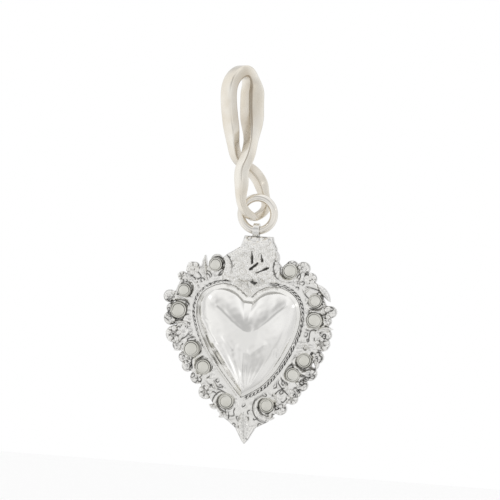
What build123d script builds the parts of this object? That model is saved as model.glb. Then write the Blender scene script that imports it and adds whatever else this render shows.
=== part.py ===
"""A silver heart charm of applied ornaments, hung by a jump ring from a bent wire bail.

Millimetres, +Z up, the front faces -Y. The origin is the underside of the bail's crest, where a chain bears.
"""

from build123d import *
import math
import os

os.makedirs("parts", exist_ok=True)

# The frame that the charm's outline is drawn in, filled within a few percent, and the carrying plate
charm_width = 23.6
charm_height = 28.1
plate_thickness = 0.9

# The pressed heart, the strip round it and the beaded wire outside the strip
dome_rise = 2.7
dome_wall = 0.55
rim_width = 0.42
rim_height = 0.95
rope_wire = 0.58
rope_pitch = 0.52
trim_gap = 0.05

# The applied ornaments, measured up from the plate's face
floor_height = 0.3
collar_height = 0.85
boss_height = 1.2
leaf_height = 0.8
tongue_height = 1.15
frond_height = 0.65

# The jump ring and the eyelet that it passes through
ring_radius = 2.23
ring_wire = 1.08
eyelet_wall = 0.35
eyelet_width = 0.85
eyelet_play = 0.12
crown_clearance = 0.18

# The bail: a squared wire, heavy at one shoulder and drawn down to its foot
bail_height = 19.7
bail_width = 5.5
bail_depth = 3.5
crest_width = 2.2
crest_thickness = 1.5
shoulder_width = 2.75
shoulder_thickness = 2.5
arm_width = 2.3
arm_thickness = 1.28
waist_width = 1.6
waist_thickness = 1.1
shin_width = 1.75
shin_thickness = 1.38
foot_width = 1.15
foot_thickness = 1.0
bail_edge_share = 0.2
bail_turn = 45
bail_seam = 0.1
bail_stations = 56

# Where the main pieces stand, as shares of the charm's and the bail's own sizes
crest_shares = (-0.555, 0.0, 1.0)
foot_drop_share = 0.025
heart_middle_share = -0.0115
heart_top_share = 0.226
heart_tip_share = 0.776
heart_half_width_share = 0.3145

# One ornament unit is the same part of the plate whichever way the plate is stretched
width_units = 24
height_units = 28
unit = min(charm_width / width_units, charm_height / height_units)

# Heights, depths and the datum of the charm
ring_x = -crest_shares[0] * bail_width
ring_z = -(crest_shares[2] - foot_drop_share) * bail_height + crest_thickness / 2
hinge_z = ring_z - ring_radius
crown_top = hinge_z - ring_wire / 2 - crown_clearance
front_y = -plate_thickness / 2
heart_x = ring_x + heart_middle_share * charm_width
heart_top = crown_top - heart_top_share * charm_height
heart_height = (heart_tip_share - heart_top_share) * charm_height
heart_half_width = heart_half_width_share * charm_width

# The beaded wire's line, cleft to tip down each side: across in half widths, down in heights
heart_right_shares = [
    (0.0, 0.11),
    (0.2, 0.03),
    (0.47, 0.0),
    (0.73, 0.035),
    (0.91, 0.11),
    (0.99, 0.21),
    (0.99, 0.33),
    (0.93, 0.45),
    (0.82, 0.58),
    (0.64, 0.74),
    (0.37, 0.9),
    (-0.05, 1.03),
]
heart_left_shares = [
    (0.0, 0.11),
    (-0.2, 0.03),
    (-0.47, 0.0),
    (-0.73, 0.035),
    (-0.92, 0.11),
    (-1.0, 0.21),
    (-0.99, 0.33),
    (-0.9, 0.46),
    (-0.78, 0.58),
    (-0.62, 0.7),
    (-0.34, 0.87),
    (-0.05, 1.03),
]

# Scrolls: across and down on the plate, radius in units, and where the collar opens in degrees
scroll_shares = {
    "scroll_left_1": (-0.217, 0.147, 1.0, 200),
    "scroll_left_2": (-0.389, 0.281, 0.95, 225),
    "scroll_left_3": (-0.416, 0.376, 1.2, 215),
    "scroll_left_4": (-0.326, 0.56, 1.2, 250),
    "scroll_left_5": (-0.254, 0.642, 1.12, 245),
    "scroll_left_6": (-0.108, 0.8, 1.1, 70),
    "scroll_right_1": (0.212, 0.158, 1.1, 330),
    "scroll_right_2": (0.369, 0.294, 0.98, 120),
    "scroll_right_3": (0.369, 0.385, 1.15, 300),
    "scroll_right_4": (0.326, 0.58, 1.05, 100),
    "scroll_right_5": (0.266, 0.652, 1.05, 290),
    "scroll_right_6": (0.127, 0.807, 1.05, 60),
}

# Rosettes: across, down, radius in units, turn of the first petal in degrees
rosette_shares = {
    "rosette_left_1": (-0.411, 0.213, 0.68, 20),
    "rosette_left_2": (-0.333, 0.244, 0.7, 60),
    "rosette_left_3": (-0.457, 0.313, 0.75, 10),
    "rosette_left_4": (-0.436, 0.495, 1.28, 90),
    "rosette_left_5": (-0.353, 0.636, 0.68, 30),
    "rosette_left_6": (-0.233, 0.763, 1.08, 75),
    "rosette_right_1": (0.281, 0.14, 0.55, 40),
    "rosette_right_2": (0.266, 0.209, 0.72, 50),
    "rosette_right_3": (0.419, 0.496, 1.1, 90),
    "rosette_right_4": (0.267, 0.769, 0.82, 15),
}

# Five-ball clusters, as the rosettes
cluster_shares = {
    "cluster_left": (-0.35, 0.174, 1.0, 54),
    "cluster_right": (0.331, 0.188, 0.85, 18),
}

# Single balls: across, down, radius in units
ball_shares = {"upper": (0.44, 0.33, 0.52), "middle": (0.443, 0.363, 0.38), "lower": (0.348, 0.64, 0.58)}

# Leaves: root across and down, tip across and down, width in units, sideways bow as a share of length
leaf_shares = {
    "leaf_left_1": (-0.262, 0.235, -0.284, 0.105, 0.85, 0.08),
    "leaf_left_2": (-0.34, 0.455, -0.44, 0.438, 0.85, -0.1),
    "leaf_left_3": (-0.388, 0.54, -0.432, 0.573, 0.7, 0.1),
    "leaf_left_4": (-0.192, 0.703, -0.155, 0.757, 0.7, -0.1),
    "leaf_left_5": (-0.15, 0.83, -0.21, 0.822, 0.75, 0.1),
    "leaf_left_6": (-0.11, 0.85, -0.15, 0.88, 0.7, 0.1),
    "leaf_right_1": (0.298, 0.262, 0.34, 0.229, 0.7, 0.08),
    "leaf_right_2": (0.375, 0.214, 0.45, 0.293, 0.85, 0.03),
    "leaf_right_3": (0.375, 0.446, 0.475, 0.425, 0.85, 0.12),
    "leaf_right_4": (0.365, 0.518, 0.3, 0.5, 0.8, 0.1),
    "leaf_right_5": (0.376, 0.55, 0.395, 0.622, 0.7, 0.1),
    "leaf_right_6": (0.215, 0.696, 0.24, 0.74, 0.8, 0.1),
    "leaf_right_7": (0.155, 0.742, 0.203, 0.809, 0.7, 0.05),
    "leaf_right_8": (0.1, 0.855, 0.172, 0.866, 0.75, -0.1),
    "leaf_tip": (-0.01, 0.84, 0.006, 0.99, 1.9, 0.02),
}

# Crown tongues and ribbons, as the leaves
tongue_shares = {
    "tongue_centre": (0.018, 0.128, 0.02, 0.045, 0.62, 0.0),
    "tongue_left": (-0.034, 0.143, -0.03, 0.018, 1.15, 0.12),
    "tongue_right": (0.07, 0.132, 0.064, 0.012, 1.15, -0.14),
    "tongue_outer_left": (-0.102, 0.145, -0.09, 0.058, 1.0, 0.12),
    "tongue_outer_right": (0.124, 0.14, 0.112, 0.058, 0.7, -0.12),
    "ribbon_upper": (-0.006, 0.191, 0.072, 0.141, 0.55, 0.08),
    "ribbon_lower": (0.038, 0.207, 0.138, 0.16, 0.6, 0.08),
    "collar_leaf_left": (-0.016, 0.25, -0.13, 0.214, 0.72, -0.08),
    "collar_leaf_right": (0.0, 0.25, 0.115, 0.214, 0.72, 0.08),
}

# Fronds: corner places of their ground, and places and radii of the grains on it
frond_outline_shares = {
    "frond_left": [
        (-0.1, 0.154),
        (-0.15, 0.12),
        (-0.172, 0.135),
        (-0.168, 0.195),
        (-0.1, 0.199),
        (-0.045, 0.197),
        (-0.028, 0.175),
        (-0.04, 0.154),
    ],
    "frond_right": [(0.128, 0.178), (0.155, 0.168), (0.158, 0.196), (0.118, 0.202), (0.085, 0.205)],
}
frond_grain_shares = {
    "frond_left": [
        (-0.145, 0.146, 0.45),
        (-0.148, 0.179, 0.4),
        (-0.11, 0.172, 0.42),
        (-0.073, 0.168, 0.38),
        (-0.046, 0.177, 0.3),
        (-0.082, 0.189, 0.22),
    ],
    "frond_right": [(0.142, 0.183, 0.32), (0.115, 0.193, 0.2)],
}

# The plate runs from the crown round through the middles of the outermost ornaments
crown_left_shares = [
    (-0.064, 0.0),
    (-0.073, 0.03),
    (-0.085, 0.055),
    (-0.12, 0.074),
    (-0.16, 0.095),
    (-0.187, 0.116),
]
crown_right_shares = [
    (0.16, 0.14),
    (0.142, 0.12),
    (0.13, 0.085),
    (0.124, 0.05),
    (0.105, 0.022),
    (0.1, 0.0),
]
left_edge_names = [
    "scroll_left_1",
    "cluster_left",
    "rosette_left_1",
    "rosette_left_3",
    "scroll_left_3",
    "rosette_left_4",
    "rosette_left_5",
    "rosette_left_6",
]
right_edge_names = [
    "rosette_right_4",
    "lower",
    "rosette_right_3",
    "middle",
    "upper",
    "leaf_right_2",
    "cluster_right",
    "rosette_right_1",
]
tip_edge_shares = [
    (-0.137, 0.872),
    (-0.089, 0.898),
    (-0.05, 0.925),
    (-0.03, 0.955),
    (-0.012, 0.982),
    (0.006, 1.0),
    (0.028, 0.978),
    (0.045, 0.95),
    (0.065, 0.92),
    (0.133, 0.888),
    (0.16, 0.858),
]

# Lobes of the plate that fill its edge between the ornaments: across, down, radius in units
lobe_shares = [
    (-0.477, 0.314, 0.89),
    (-0.458, 0.371, 0.82),
    (-0.463, 0.419, 0.99),
    (-0.41, 0.546, 0.82),
    (-0.368, 0.602, 0.86),
    (-0.348, 0.644, 0.82),
    (-0.289, 0.694, 0.96),
    (0.455, 0.342, 0.85),
    (0.433, 0.387, 0.76),
    (0.436, 0.452, 0.82),
    (0.395, 0.562, 0.89),
    (0.357, 0.641, 1.03),
    (0.315, 0.699, 0.89),
    (0.28, 0.736, 0.82),
    (0.203, 0.82, 0.86),
    (0.22, 0.138, 0.91),
    (0.285, 0.141, 0.91),
    (-0.216, 0.127, 0.85),
]


def place(across, down):
    """The point (X, Z) of a place on the plate."""
    return (ring_x + across * charm_width, crown_top - down * charm_height)


def seat(point, turn=0):
    """A plane on the plate's face with its normal to the front."""
    across = (math.cos(math.radians(turn)), 0, math.sin(math.radians(turn)))
    return Plane(origin=(point[0], front_y, point[1]), x_dir=across, z_dir=(0, -1, 0))


def finish(piece, label):
    """Name a piece and write it out."""
    piece.label = label
    export_step(piece, f"parts/{label}.step")


def heart_points(shares):
    """Points of one side of the heart's line, from the middle of its top."""
    return [(across * heart_half_width, -down * heart_height) for across, down in shares]


with BuildLine():
    heart_right = Spline(*heart_points(heart_right_shares))
    heart_left = Spline(*heart_points(heart_left_shares))

outline_steps = 11
dome_middle_share = 0.42


def inward(line, side, run, inset):
    """A point moved in from one side of the heart's line, and the line's direction there."""
    along = line.tangent_at(run)
    return line.position_at(run) + Vector(along.Y, -along.X) * side * inset, along


def meeting(run, inset):
    """Where the two sides, moved in, meet at the cleft (run 0) or at the tip (run 1)."""
    start, along = inward(heart_right, 1, run, inset)
    other, across = inward(heart_left, -1, run, inset)
    apart = other - start
    travel = (apart.X * across.Y - apart.Y * across.X) / (along.X * across.Y - along.Y * across.X)
    return start + along * travel


def heart_sides(inset, shrink=1):
    """Both sides of the heart moved in by an inset, then shrunk about the middle of its body."""
    middle = Vector(0, -dome_middle_share * heart_height)
    sides = []
    for line, side in ((heart_right, 1), (heart_left, -1)):
        runs = [step / outline_steps for step in range(1, outline_steps)]
        inner = [inward(line, side, run, inset)[0] for run in runs]
        points = [meeting(0, inset)] + inner + [meeting(1, inset)]
        sides.append([middle + (point - middle) * shrink for point in points])
    return sides


def leaf_lines(root, tip, width, bow):
    """Draw a pointed leaf between two points of a sketch, bowed to one side."""
    along = tip - root
    side = Vector(-along.Y, along.X)
    belly = root + along * leaf_belly_share + side * bow
    half = side.normalized() * width / 2
    ThreePointArc(root, belly + half, tip)
    ThreePointArc(root, belly - half, tip)


# Shares of a scroll's or a flower's own radius, and of a leaf's own length and width
scroll_boss_share = 0.66
scroll_bore_share = 0.8
scroll_mouth_share = 0.7
boss_round_share = 0.55
lobe_count = 5
petal_ring_share = 0.58
petal_share = 0.4
berry_ring_share = 0.62
berry_share = 0.35
eye_share = 0.2
eye_height_share = 0.42
leaf_belly_share = 0.45
leaf_flank_share = 0.3

# Jump ring
with BuildPart() as jump_ring:
    with BuildSketch(Plane.XY.offset(ring_z)):
        with Locations((ring_x + ring_radius, 0)):
            Circle(ring_wire / 2)
    revolve(axis=Axis((ring_x, 0, ring_z), (0, 1, 0)))
finish(jump_ring.part, "jump_ring")

# Bail: sections set square to a closed line that crosses itself once
bail_line_shares = [
    (-0.09, -0.02, 0.0),
    (-0.205, -0.214, 0.02),
    (-0.345, -0.43, 0.074),
    (-0.391, -0.5, 0.137),
    (-0.396, -0.5, 0.219),
    (-0.417, -0.47, 0.29),
    (-0.395, -0.43, 0.34),
    (-0.325, -0.36, 0.397),
    (-0.285, -0.22, 0.463),
    (-0.292, 0.17, 0.615),
    (-0.355, 0.42, 0.788),
    (-0.405, 0.36, 0.935),
    crest_shares,
    (-0.78, -0.36, 0.945),
    (-0.85, -0.46, 0.798),
    (-0.758, -0.28, 0.6),
    (-0.7, 0.12, 0.463),
    (-0.61, 0.31, 0.397),
    (-0.35, 0.42, 0.34),
    (-0.135, 0.44, 0.288),
    (-0.01, 0.455, 0.234),
    (0.085, 0.49, 0.158),
    (0.16, 0.4, 0.08),
    (0.045, 0.22, 0.025),
    (-0.09, 0.02, 0.0),
]
bail_points = [
    (ring_x + x * bail_width, y * bail_depth, ring_z + (z - foot_drop_share) * bail_height)
    for x, y, z in bail_line_shares
]
with BuildLine() as bail_line:
    Spline(*bail_points)
bail_edge = bail_line.edges()[0]
bail_across = Vector(math.sin(math.radians(bail_turn)), -math.cos(math.radians(bail_turn)), 0)
foot = (foot_width, foot_thickness)
shin = (shin_width, shin_thickness)
shoulder = (shoulder_width, shoulder_thickness)
crest = (crest_width, crest_thickness)
arm = (arm_width, arm_thickness)
waist = (waist_width, waist_thickness)

# Where along its length the bail has each section
bail_section_shares = [
    (0.0, foot),
    (0.06, foot),
    (0.13, shin),
    (0.24, shin),
    (0.34, shoulder),
    (0.4, shoulder),
    (0.455, crest),
    (0.505, crest),
    (0.57, arm),
    (0.66, arm),
    (0.74, waist),
    (0.79, waist),
    (0.84, shin),
    (0.87, shin),
    (0.93, foot),
    (1.0, foot),
]


def bail_section(run):
    """The bail's width and thickness at a share of its length, eased from each section to the next."""
    spans = list(zip(bail_section_shares, bail_section_shares[1:]))
    (start, before), (stop, after) = [span for span in spans if span[0][0] <= run][-1]
    ease = (run - start) / (stop - start)
    ease = ease * ease * (3 - 2 * ease)
    return [low + (high - low) * ease for low, high in zip(before, after)]


with BuildPart() as bail:
    for station in range(bail_stations + 1):
        seam_share = bail_seam / 2 / bail_edge.length
        run = seam_share + (1 - 2 * seam_share) * station / bail_stations
        spot = bail_edge.position_at(run)
        along = bail_edge.tangent_at(run)
        wide = bail_across - along * bail_across.dot(along)
        width, thickness = bail_section(run)
        with BuildSketch(Plane(origin=spot, x_dir=wide, z_dir=along)):
            RectangleRounded(width, thickness, bail_edge_share * thickness)
    loft(ruled=True)
finish(bail.part, "bail")

# Eyelet: a flat loop round the ring's wire, on a foot that stands on the plate's top edge
eyelet_bore = ring_wire / 2 + eyelet_play
eyelet_radius = eyelet_bore + eyelet_wall
eyelet_foot_z = hinge_z - eyelet_radius - eyelet_wall
with BuildPart() as eyelet:
    with BuildSketch(Plane.YZ.offset(ring_x)):
        with Locations((0, hinge_z)):
            Circle(eyelet_radius)
        with Locations((0, (hinge_z + eyelet_foot_z) / 2)):
            Rectangle(plate_thickness, hinge_z - eyelet_foot_z)
        with Locations((0, hinge_z)):
            Circle(eyelet_bore, mode=Mode.SUBTRACT)
    extrude(amount=eyelet_width / 2, both=True)
    fillet(eyelet.edges().filter_by(GeomType.CIRCLE).sort_by(Axis.Z)[-2:], radius=eyelet_wall / 4)
finish(eyelet.part, "eyelet")

# Back plate: the outline through the outermost ornaments, a round pad under each, and the lobes
round_ornaments = scroll_shares | rosette_shares | cluster_shares | ball_shares
placed_shares = round_ornaments | leaf_shares
edge_points = [place(*at) for at in crown_left_shares]
edge_points += [place(*placed_shares[name][:2]) for name in left_edge_names]
edge_points += [place(*at) for at in tip_edge_shares]
edge_points += [place(*placed_shares[name][:2]) for name in right_edge_names]
edge_points += [place(*at) for at in crown_right_shares]
with BuildPart() as back_plate:
    with BuildSketch(seat((0, 0))):
        with BuildLine():
            Polyline(*edge_points, close=True)
        make_face()
        for across, down, radius, *turn in round_ornaments.values():
            with Locations(place(across, down)):
                Circle(radius * unit - trim_gap)
        for across, down, radius in lobe_shares:
            with Locations(place(across, down)):
                Circle(radius * unit)
        for *ends, width, bow in (leaf_shares | tongue_shares).values():
            with BuildLine():
                leaf_lines(Vector(place(*ends[:2])), Vector(place(*ends[2:])), width * unit - trim_gap, bow)
            make_face()
        with Locations((ring_x, (hinge_z + eyelet_foot_z) / 2)):
            Rectangle(eyelet_width + 2 * trim_gap, hinge_z - eyelet_foot_z, mode=Mode.SUBTRACT)
    extrude(amount=-plate_thickness)
finish(back_plate.part, "back_plate")

# Beaded wire: a left and a right half, each a row of beads drawn from one wire
rope_start_share = 0.15
rope_stop_share = 0.965
bead_waist_share = 0.72
bead_profile_shares = [(0.0, bead_waist_share), (0.2, 0.95), (0.5, 1.0), (0.8, 0.95)]
rope_y = front_y - rope_wire / 2 - trim_gap / 2
for line, label in ((heart_left, "rope_left"), (heart_right, "rope_right")):
    rope_span_share = rope_stop_share - rope_start_share
    bead_count = max(round(rope_span_share * line.length / rope_pitch), 1)
    profile = [(bead + run, girth) for bead in range(bead_count) for run, girth in bead_profile_shares]
    with BuildPart() as rope:
        for run, girth in profile + [(bead_count, bead_waist_share)]:
            station = rope_start_share + rope_span_share * run / bead_count
            spot = line.position_at(station)
            along = line.tangent_at(station)
            middle = (heart_x + spot.X, rope_y, heart_top + spot.Y)
            with BuildSketch(Plane(origin=middle, x_dir=(0, -1, 0), z_dir=(along.X, 0, along.Y))):
                Circle(girth * rope_wire / 2)
        loft(ruled=True)
    finish(rope.part, label)

# Rim: a narrow strip that stands between the beaded wire and the dome
rim_inset = rope_wire / 2 + trim_gap
dome_inset = rim_inset + rim_width + trim_gap
heart_plane = seat((heart_x, heart_top))
with BuildPart() as heart_rim:
    for inset, mode in ((rim_inset, Mode.ADD), (rim_inset + rim_width, Mode.SUBTRACT)):
        with BuildSketch(heart_plane):
            with BuildLine():
                for side_points in heart_sides(inset):
                    Spline(*side_points)
            make_face()
        extrude(amount=rim_height, mode=mode)
finish(heart_rim.part, "heart_rim")

# Dome: a pressed shell, open at the back, whose sections shrink towards its crest
dome_section_shares = [(1.0, 0.0), (0.985, 0.3), (0.91, 0.62), (0.76, 0.85), (0.52, 0.97), (0.2, 1.0)]
hollow_share = 1 - dome_wall / heart_half_width
with BuildPart() as heart_dome:
    for size_share, rise, mode in (
        (1, dome_rise, Mode.ADD),
        (hollow_share, dome_rise - dome_wall, Mode.SUBTRACT),
    ):
        for shrink_share, rise_share in dome_section_shares:
            with BuildSketch(heart_plane.offset(rise * rise_share)):
                with BuildLine():
                    for side_points in heart_sides(dome_inset, size_share * shrink_share):
                        Spline(*side_points)
                make_face()
        loft(mode=mode)
finish(heart_dome.part, "heart_dome")


def scroll(point, radius, opening):
    """A round boss in an open collar, both on one thin floor."""
    at = seat(point, opening)
    boss_radius = scroll_boss_share * radius
    with BuildPart() as piece:
        with BuildSketch(at):
            Circle(radius)
        extrude(amount=floor_height)
        with BuildSketch(at):
            Circle(radius)
            Circle(scroll_bore_share * radius, mode=Mode.SUBTRACT)
            with Locations((radius, 0)):
                Rectangle(radius, scroll_mouth_share * radius, mode=Mode.SUBTRACT)
        extrude(amount=collar_height)
        with BuildSketch(at):
            Circle(boss_radius)
        extrude(amount=boss_height)
        crown_edge = piece.edges().filter_by(GeomType.CIRCLE).sort_by(Axis.Y)[0]
        fillet(crown_edge, radius=min(boss_radius, boss_height) * boss_round_share)
    return piece.part


def flower(point, radius, turn, ring_share, lobe_share, eye):
    """Five round lobes on a lobed floor, with or without a small pierced eye in the middle."""
    at = seat(point, turn)
    lobe_radius = lobe_share * radius
    with BuildPart() as piece:
        with BuildSketch(at):
            Circle(ring_share * radius)
            with PolarLocations(ring_share * radius, lobe_count):
                Circle(lobe_radius)
        extrude(amount=floor_height)
        with Locations(at.offset(floor_height)):
            with PolarLocations(ring_share * radius, lobe_count):
                Sphere(lobe_radius, arc_size1=0, align=(Align.CENTER, Align.CENTER, Align.MIN))
        if eye:
            with BuildSketch(at.offset(floor_height)):
                Circle(eye_share * radius)
            extrude(amount=eye_height_share * radius)
            with BuildSketch(at.offset(floor_height)):
                Circle(eye_share * radius / 2)
            extrude(amount=eye_height_share * radius, mode=Mode.SUBTRACT)
    return piece.part


def leaf(root, tip, width, bow, height):
    """A pointed leaf with sloping flanks, standing on the plate's face."""
    with BuildPart() as piece:
        with BuildSketch(seat((0, 0))):
            with BuildLine():
                leaf_lines(Vector(root), Vector(tip), width, bow)
            make_face()
        extrude(amount=height, taper=math.degrees(math.atan2(leaf_flank_share * width, height)))
    return piece.part


def frond(outline, grains):
    """A low lobed ground with round grains on it."""
    with BuildPart() as piece:
        with BuildSketch(seat((0, 0))):
            with BuildLine():
                Polyline(*[place(*at) for at in outline], close=True)
            make_face()
        extrude(amount=frond_height)
        for across, down, radius in grains:
            with Locations(seat(place(across, down)).offset(frond_height)):
                Sphere(radius * unit, arc_size1=0, align=(Align.CENTER, Align.CENTER, Align.MIN))
    return piece.part


for name, (across, down, radius, opening) in scroll_shares.items():
    finish(scroll(place(across, down), radius * unit, opening), name)
for name, (across, down, radius, turn) in rosette_shares.items():
    finish(flower(place(across, down), radius * unit, turn, petal_ring_share, petal_share, True), name)
for name, (across, down, radius, turn) in cluster_shares.items():
    finish(flower(place(across, down), radius * unit, turn, berry_ring_share, berry_share, False), name)
for shares, height in ((leaf_shares, leaf_height), (tongue_shares, tongue_height)):
    for name, (*ends, width, bow) in shares.items():
        finish(leaf(place(*ends[:2]), place(*ends[2:]), width * unit, bow, height), name)
for name, outline in frond_outline_shares.items():
    finish(frond(outline, frond_grain_shares[name]), name)

# Single balls, each on a short stub
with BuildPart() as border_balls:
    for across, down, radius in ball_shares.values():
        with BuildSketch(seat(place(across, down))):
            Circle(radius * unit)
        extrude(amount=floor_height)
        with Locations(seat(place(across, down)).offset(floor_height)):
            Sphere(radius * unit, arc_size1=0, align=(Align.CENTER, Align.CENTER, Align.MIN))
finish(border_balls.part, "border_balls")
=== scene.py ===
"""Looks of a silver heart charm on its bail: detailed pieces, finishes, camera and light.

Lengths are metres in the frame's axes: +Z up, the front faces -Y, the origin under the bail's crest.
"""

import logging
import math
from collections.abc import Callable
from dataclasses import dataclass, field
from enum import Enum
from typing import Any

import bmesh
import bpy
import numpy as np
from mathutils import Matrix


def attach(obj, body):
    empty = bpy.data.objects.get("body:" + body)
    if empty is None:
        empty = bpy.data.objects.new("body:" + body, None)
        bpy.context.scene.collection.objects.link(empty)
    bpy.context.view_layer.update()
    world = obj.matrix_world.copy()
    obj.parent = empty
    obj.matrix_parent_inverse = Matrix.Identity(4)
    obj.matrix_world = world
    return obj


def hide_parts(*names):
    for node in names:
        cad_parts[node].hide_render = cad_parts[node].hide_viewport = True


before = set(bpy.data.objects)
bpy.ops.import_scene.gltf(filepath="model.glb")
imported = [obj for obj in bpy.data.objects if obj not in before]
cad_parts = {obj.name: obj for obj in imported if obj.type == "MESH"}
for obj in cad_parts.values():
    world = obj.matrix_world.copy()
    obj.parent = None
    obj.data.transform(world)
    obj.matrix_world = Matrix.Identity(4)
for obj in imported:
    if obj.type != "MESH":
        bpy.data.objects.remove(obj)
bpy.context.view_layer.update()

log = logging.getLogger("charm")
MM = 0.001
TURN = 2 * math.pi
# How far the flat underside of a relief lies below the plate's face
SINK = 0.01 * MM
Array = np.ndarray
Tone = tuple[float, float, float]
Route = tuple[tuple[float, float], ...]
Spec = tuple[float, ...]
Inputs = dict[str | int, Any]


# Shapes shared by every piece


@dataclass
class Shell:
    """A mesh as arrays: corner places, four- and three-sided faces, and how far each corner is recessed,
    which on the bail carries painted shade and a painted dark reflection instead.
    """

    points: Array
    quads: Array
    triangles: Array
    recess: Array

    @staticmethod
    def joined(shells: list["Shell"]) -> "Shell":
        """Put several shells into one mesh without merging them.

        Args:
            shells: The shells, in order.
        Returns:
            One shell that holds them all.
        """
        starts = np.cumsum([0] + [len(shell.points) for shell in shells[:-1]])
        return Shell(
            np.concatenate([shell.points for shell in shells]),
            np.concatenate([shell.quads + start for shell, start in zip(shells, starts)]),
            np.concatenate([shell.triangles + start for shell, start in zip(shells, starts)]),
            np.concatenate([shell.recess for shell in shells]),
        )

    def mesh(self, name: str) -> bpy.types.Mesh:
        """Write the arrays into a Blender mesh whose faces point outwards.

        Args:
            name: The mesh's name.
        Returns:
            The mesh, smooth shaded, with the recess as a point attribute.
        """
        mesh = bpy.data.meshes.new(name)
        corners = np.concatenate([self.quads.ravel(), self.triangles.ravel()]).astype(np.int32)
        sides = np.repeat([4, 3], [len(self.quads), len(self.triangles)])
        starts = (np.cumsum(sides) - sides).astype(np.int32)
        mesh.vertices.add(len(self.points))
        mesh.vertices.foreach_set("co", self.points.astype(np.float32).ravel())
        mesh.loops.add(len(corners))
        mesh.loops.foreach_set("vertex_index", corners)
        mesh.polygons.add(len(starts))
        mesh.polygons.foreach_set("loop_start", starts)
        mesh.update(calc_edges=True)
        work = bmesh.new()
        work.from_mesh(mesh)
        bmesh.ops.recalc_face_normals(work, faces=work.faces)
        work.to_mesh(mesh)
        work.free()
        mesh.polygons.foreach_set("use_smooth", np.ones(len(starts), dtype=bool))
        # On the bail this attribute carries painted shade and a painted dark reflection, not a recess.
        attribute = mesh.attributes.new("recess", "FLOAT", "POINT")
        attribute.data.foreach_set("value", self.recess.astype(np.float32))
        mesh.update()
        return mesh


def grid_quads(rows: int, columns: int, wrap_rows: bool = False) -> Array:
    """Faces of a grid that closes on itself along its columns.

    Args:
        rows: How many rings the grid has.
        columns: How many points each ring has.
        wrap_rows: Whether the last ring joins the first.
    Returns:
        Corner numbers, four a face.
    """
    row, column = np.meshgrid(np.arange(rows if wrap_rows else rows - 1), np.arange(columns), indexing="ij")
    here, after, right = row * columns, (row + 1) % rows * columns, (column + 1) % columns
    return np.stack([here + column, here + right, after + right, after + column], -1).reshape(-1, 4)


def fan(ring_start: int, columns: int, middle: int) -> Array:
    """Three-sided faces from one middle point to a ring of points."""
    column = np.arange(columns)
    return np.stack([ring_start + column, ring_start + (column + 1) % columns, np.full(columns, middle)], -1)


def tube(rings: Array, closed: bool, recess: Array | None = None) -> Shell:
    """A skin over rings of points, closed end to end or capped with fans.

    Args:
        rings: Points, ring by ring, as an array of rings by points by three.
        closed: Whether the last ring joins the first.
        recess: How far each point is recessed, or None for not at all.
    Returns:
        The closed shell.
    """
    count, columns = rings.shape[:2]
    points = rings.reshape(-1, 3)
    quads = grid_quads(count, columns, closed)
    depth = np.zeros(len(points)) if recess is None else recess.ravel()
    if closed:
        return Shell(points, quads, np.zeros((0, 3), dtype=int), depth)
    last = len(points)
    points = np.concatenate([points, rings[0].mean(0)[None], rings[-1].mean(0)[None]])
    triangles = np.concatenate([fan(0, columns, last), fan((count - 1) * columns, columns, last + 1)])
    return Shell(points, quads, triangles, np.concatenate([depth, [0, 0]]))


def smoothstep(value: Array | float, low: float, high: float) -> Array:
    """Rise from 0 at low to 1 at high, as 3t squared less 2t cubed of the share t between them."""
    share = np.clip((np.asarray(value, dtype=float) - low) / (high - low), 0, 1)
    return share * share * (3 - 2 * share)


def fade(value: Array | float, low: float, high: float) -> Array:
    """Fall from 1 at low to 0 at high, as 1 less the rise."""
    return 1 - smoothstep(value, low, high)


def bump(value: Array, middle: float, width: float) -> Array:
    """A bell of height 1: e to the minus square of the distance from the middle over the width."""
    return np.exp(-(((np.asarray(value) - middle) / width) ** 2))


def unit_rows(vectors: Array) -> Array:
    """Each row of an array over its own length."""
    return vectors / np.linalg.norm(vectors, axis=-1, keepdims=True)


def rightwards(ways: Array) -> Array:
    """The unit normal on the right of each way (X, Z): its two parts swapped and the second negated."""
    along = unit_rows(ways)
    return np.stack([along[:, 1], -along[:, 0]], -1)


def polar(places: Array, middle: Array) -> tuple[Array, Array]:
    """How far each place (X, Z) is from a middle, and its angle there."""
    away = places - middle
    return np.linalg.norm(away, axis=-1), np.arctan2(away[..., 1], away[..., 0])


def beside(places: Array, start: Array, end: Array) -> tuple[Array, Array]:
    """How each place lies beside a straight line.

    The foot of its perpendicular is held between the line's ends.

    Args:
        places: Places (X, Z).
        start: Where the line starts.
        end: Where it ends.
    Returns:
        The distance of each place from the line, and the share of the line at its foot.
    """
    along = end - start
    run = np.clip((places - start) @ along / (along @ along), 0, 1)
    return np.linalg.norm(places - start - run[..., None] * along, axis=-1), run


def lengths(points: Array) -> Array:
    """How far along a line each of its points is."""
    return np.concatenate([[0], np.cumsum(np.linalg.norm(np.diff(points, axis=0), axis=1))])


def between(points: Array, knots: Array, places: Array) -> Array:
    """Points at given places on a broken line whose points stand at the knots, each axis running straight."""
    return np.stack([np.interp(places, knots, axis) for axis in points.T], -1)


def looped(points: Array, count: int, by_length: bool = False) -> Array:
    """Points on the closed broken line through given points.

    Args:
        points: The points to pass through.
        count: How many to make.
        by_length: Whether they stand evenly by length, or else as many on each side.
    Returns:
        The points, starting at the first given one.
    """
    closed = np.concatenate([points, points[:1]])
    knots = lengths(closed) if by_length else np.arange(len(closed))
    return between(closed, knots, np.linspace(0, knots[-1], count, endpoint=False))


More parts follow.
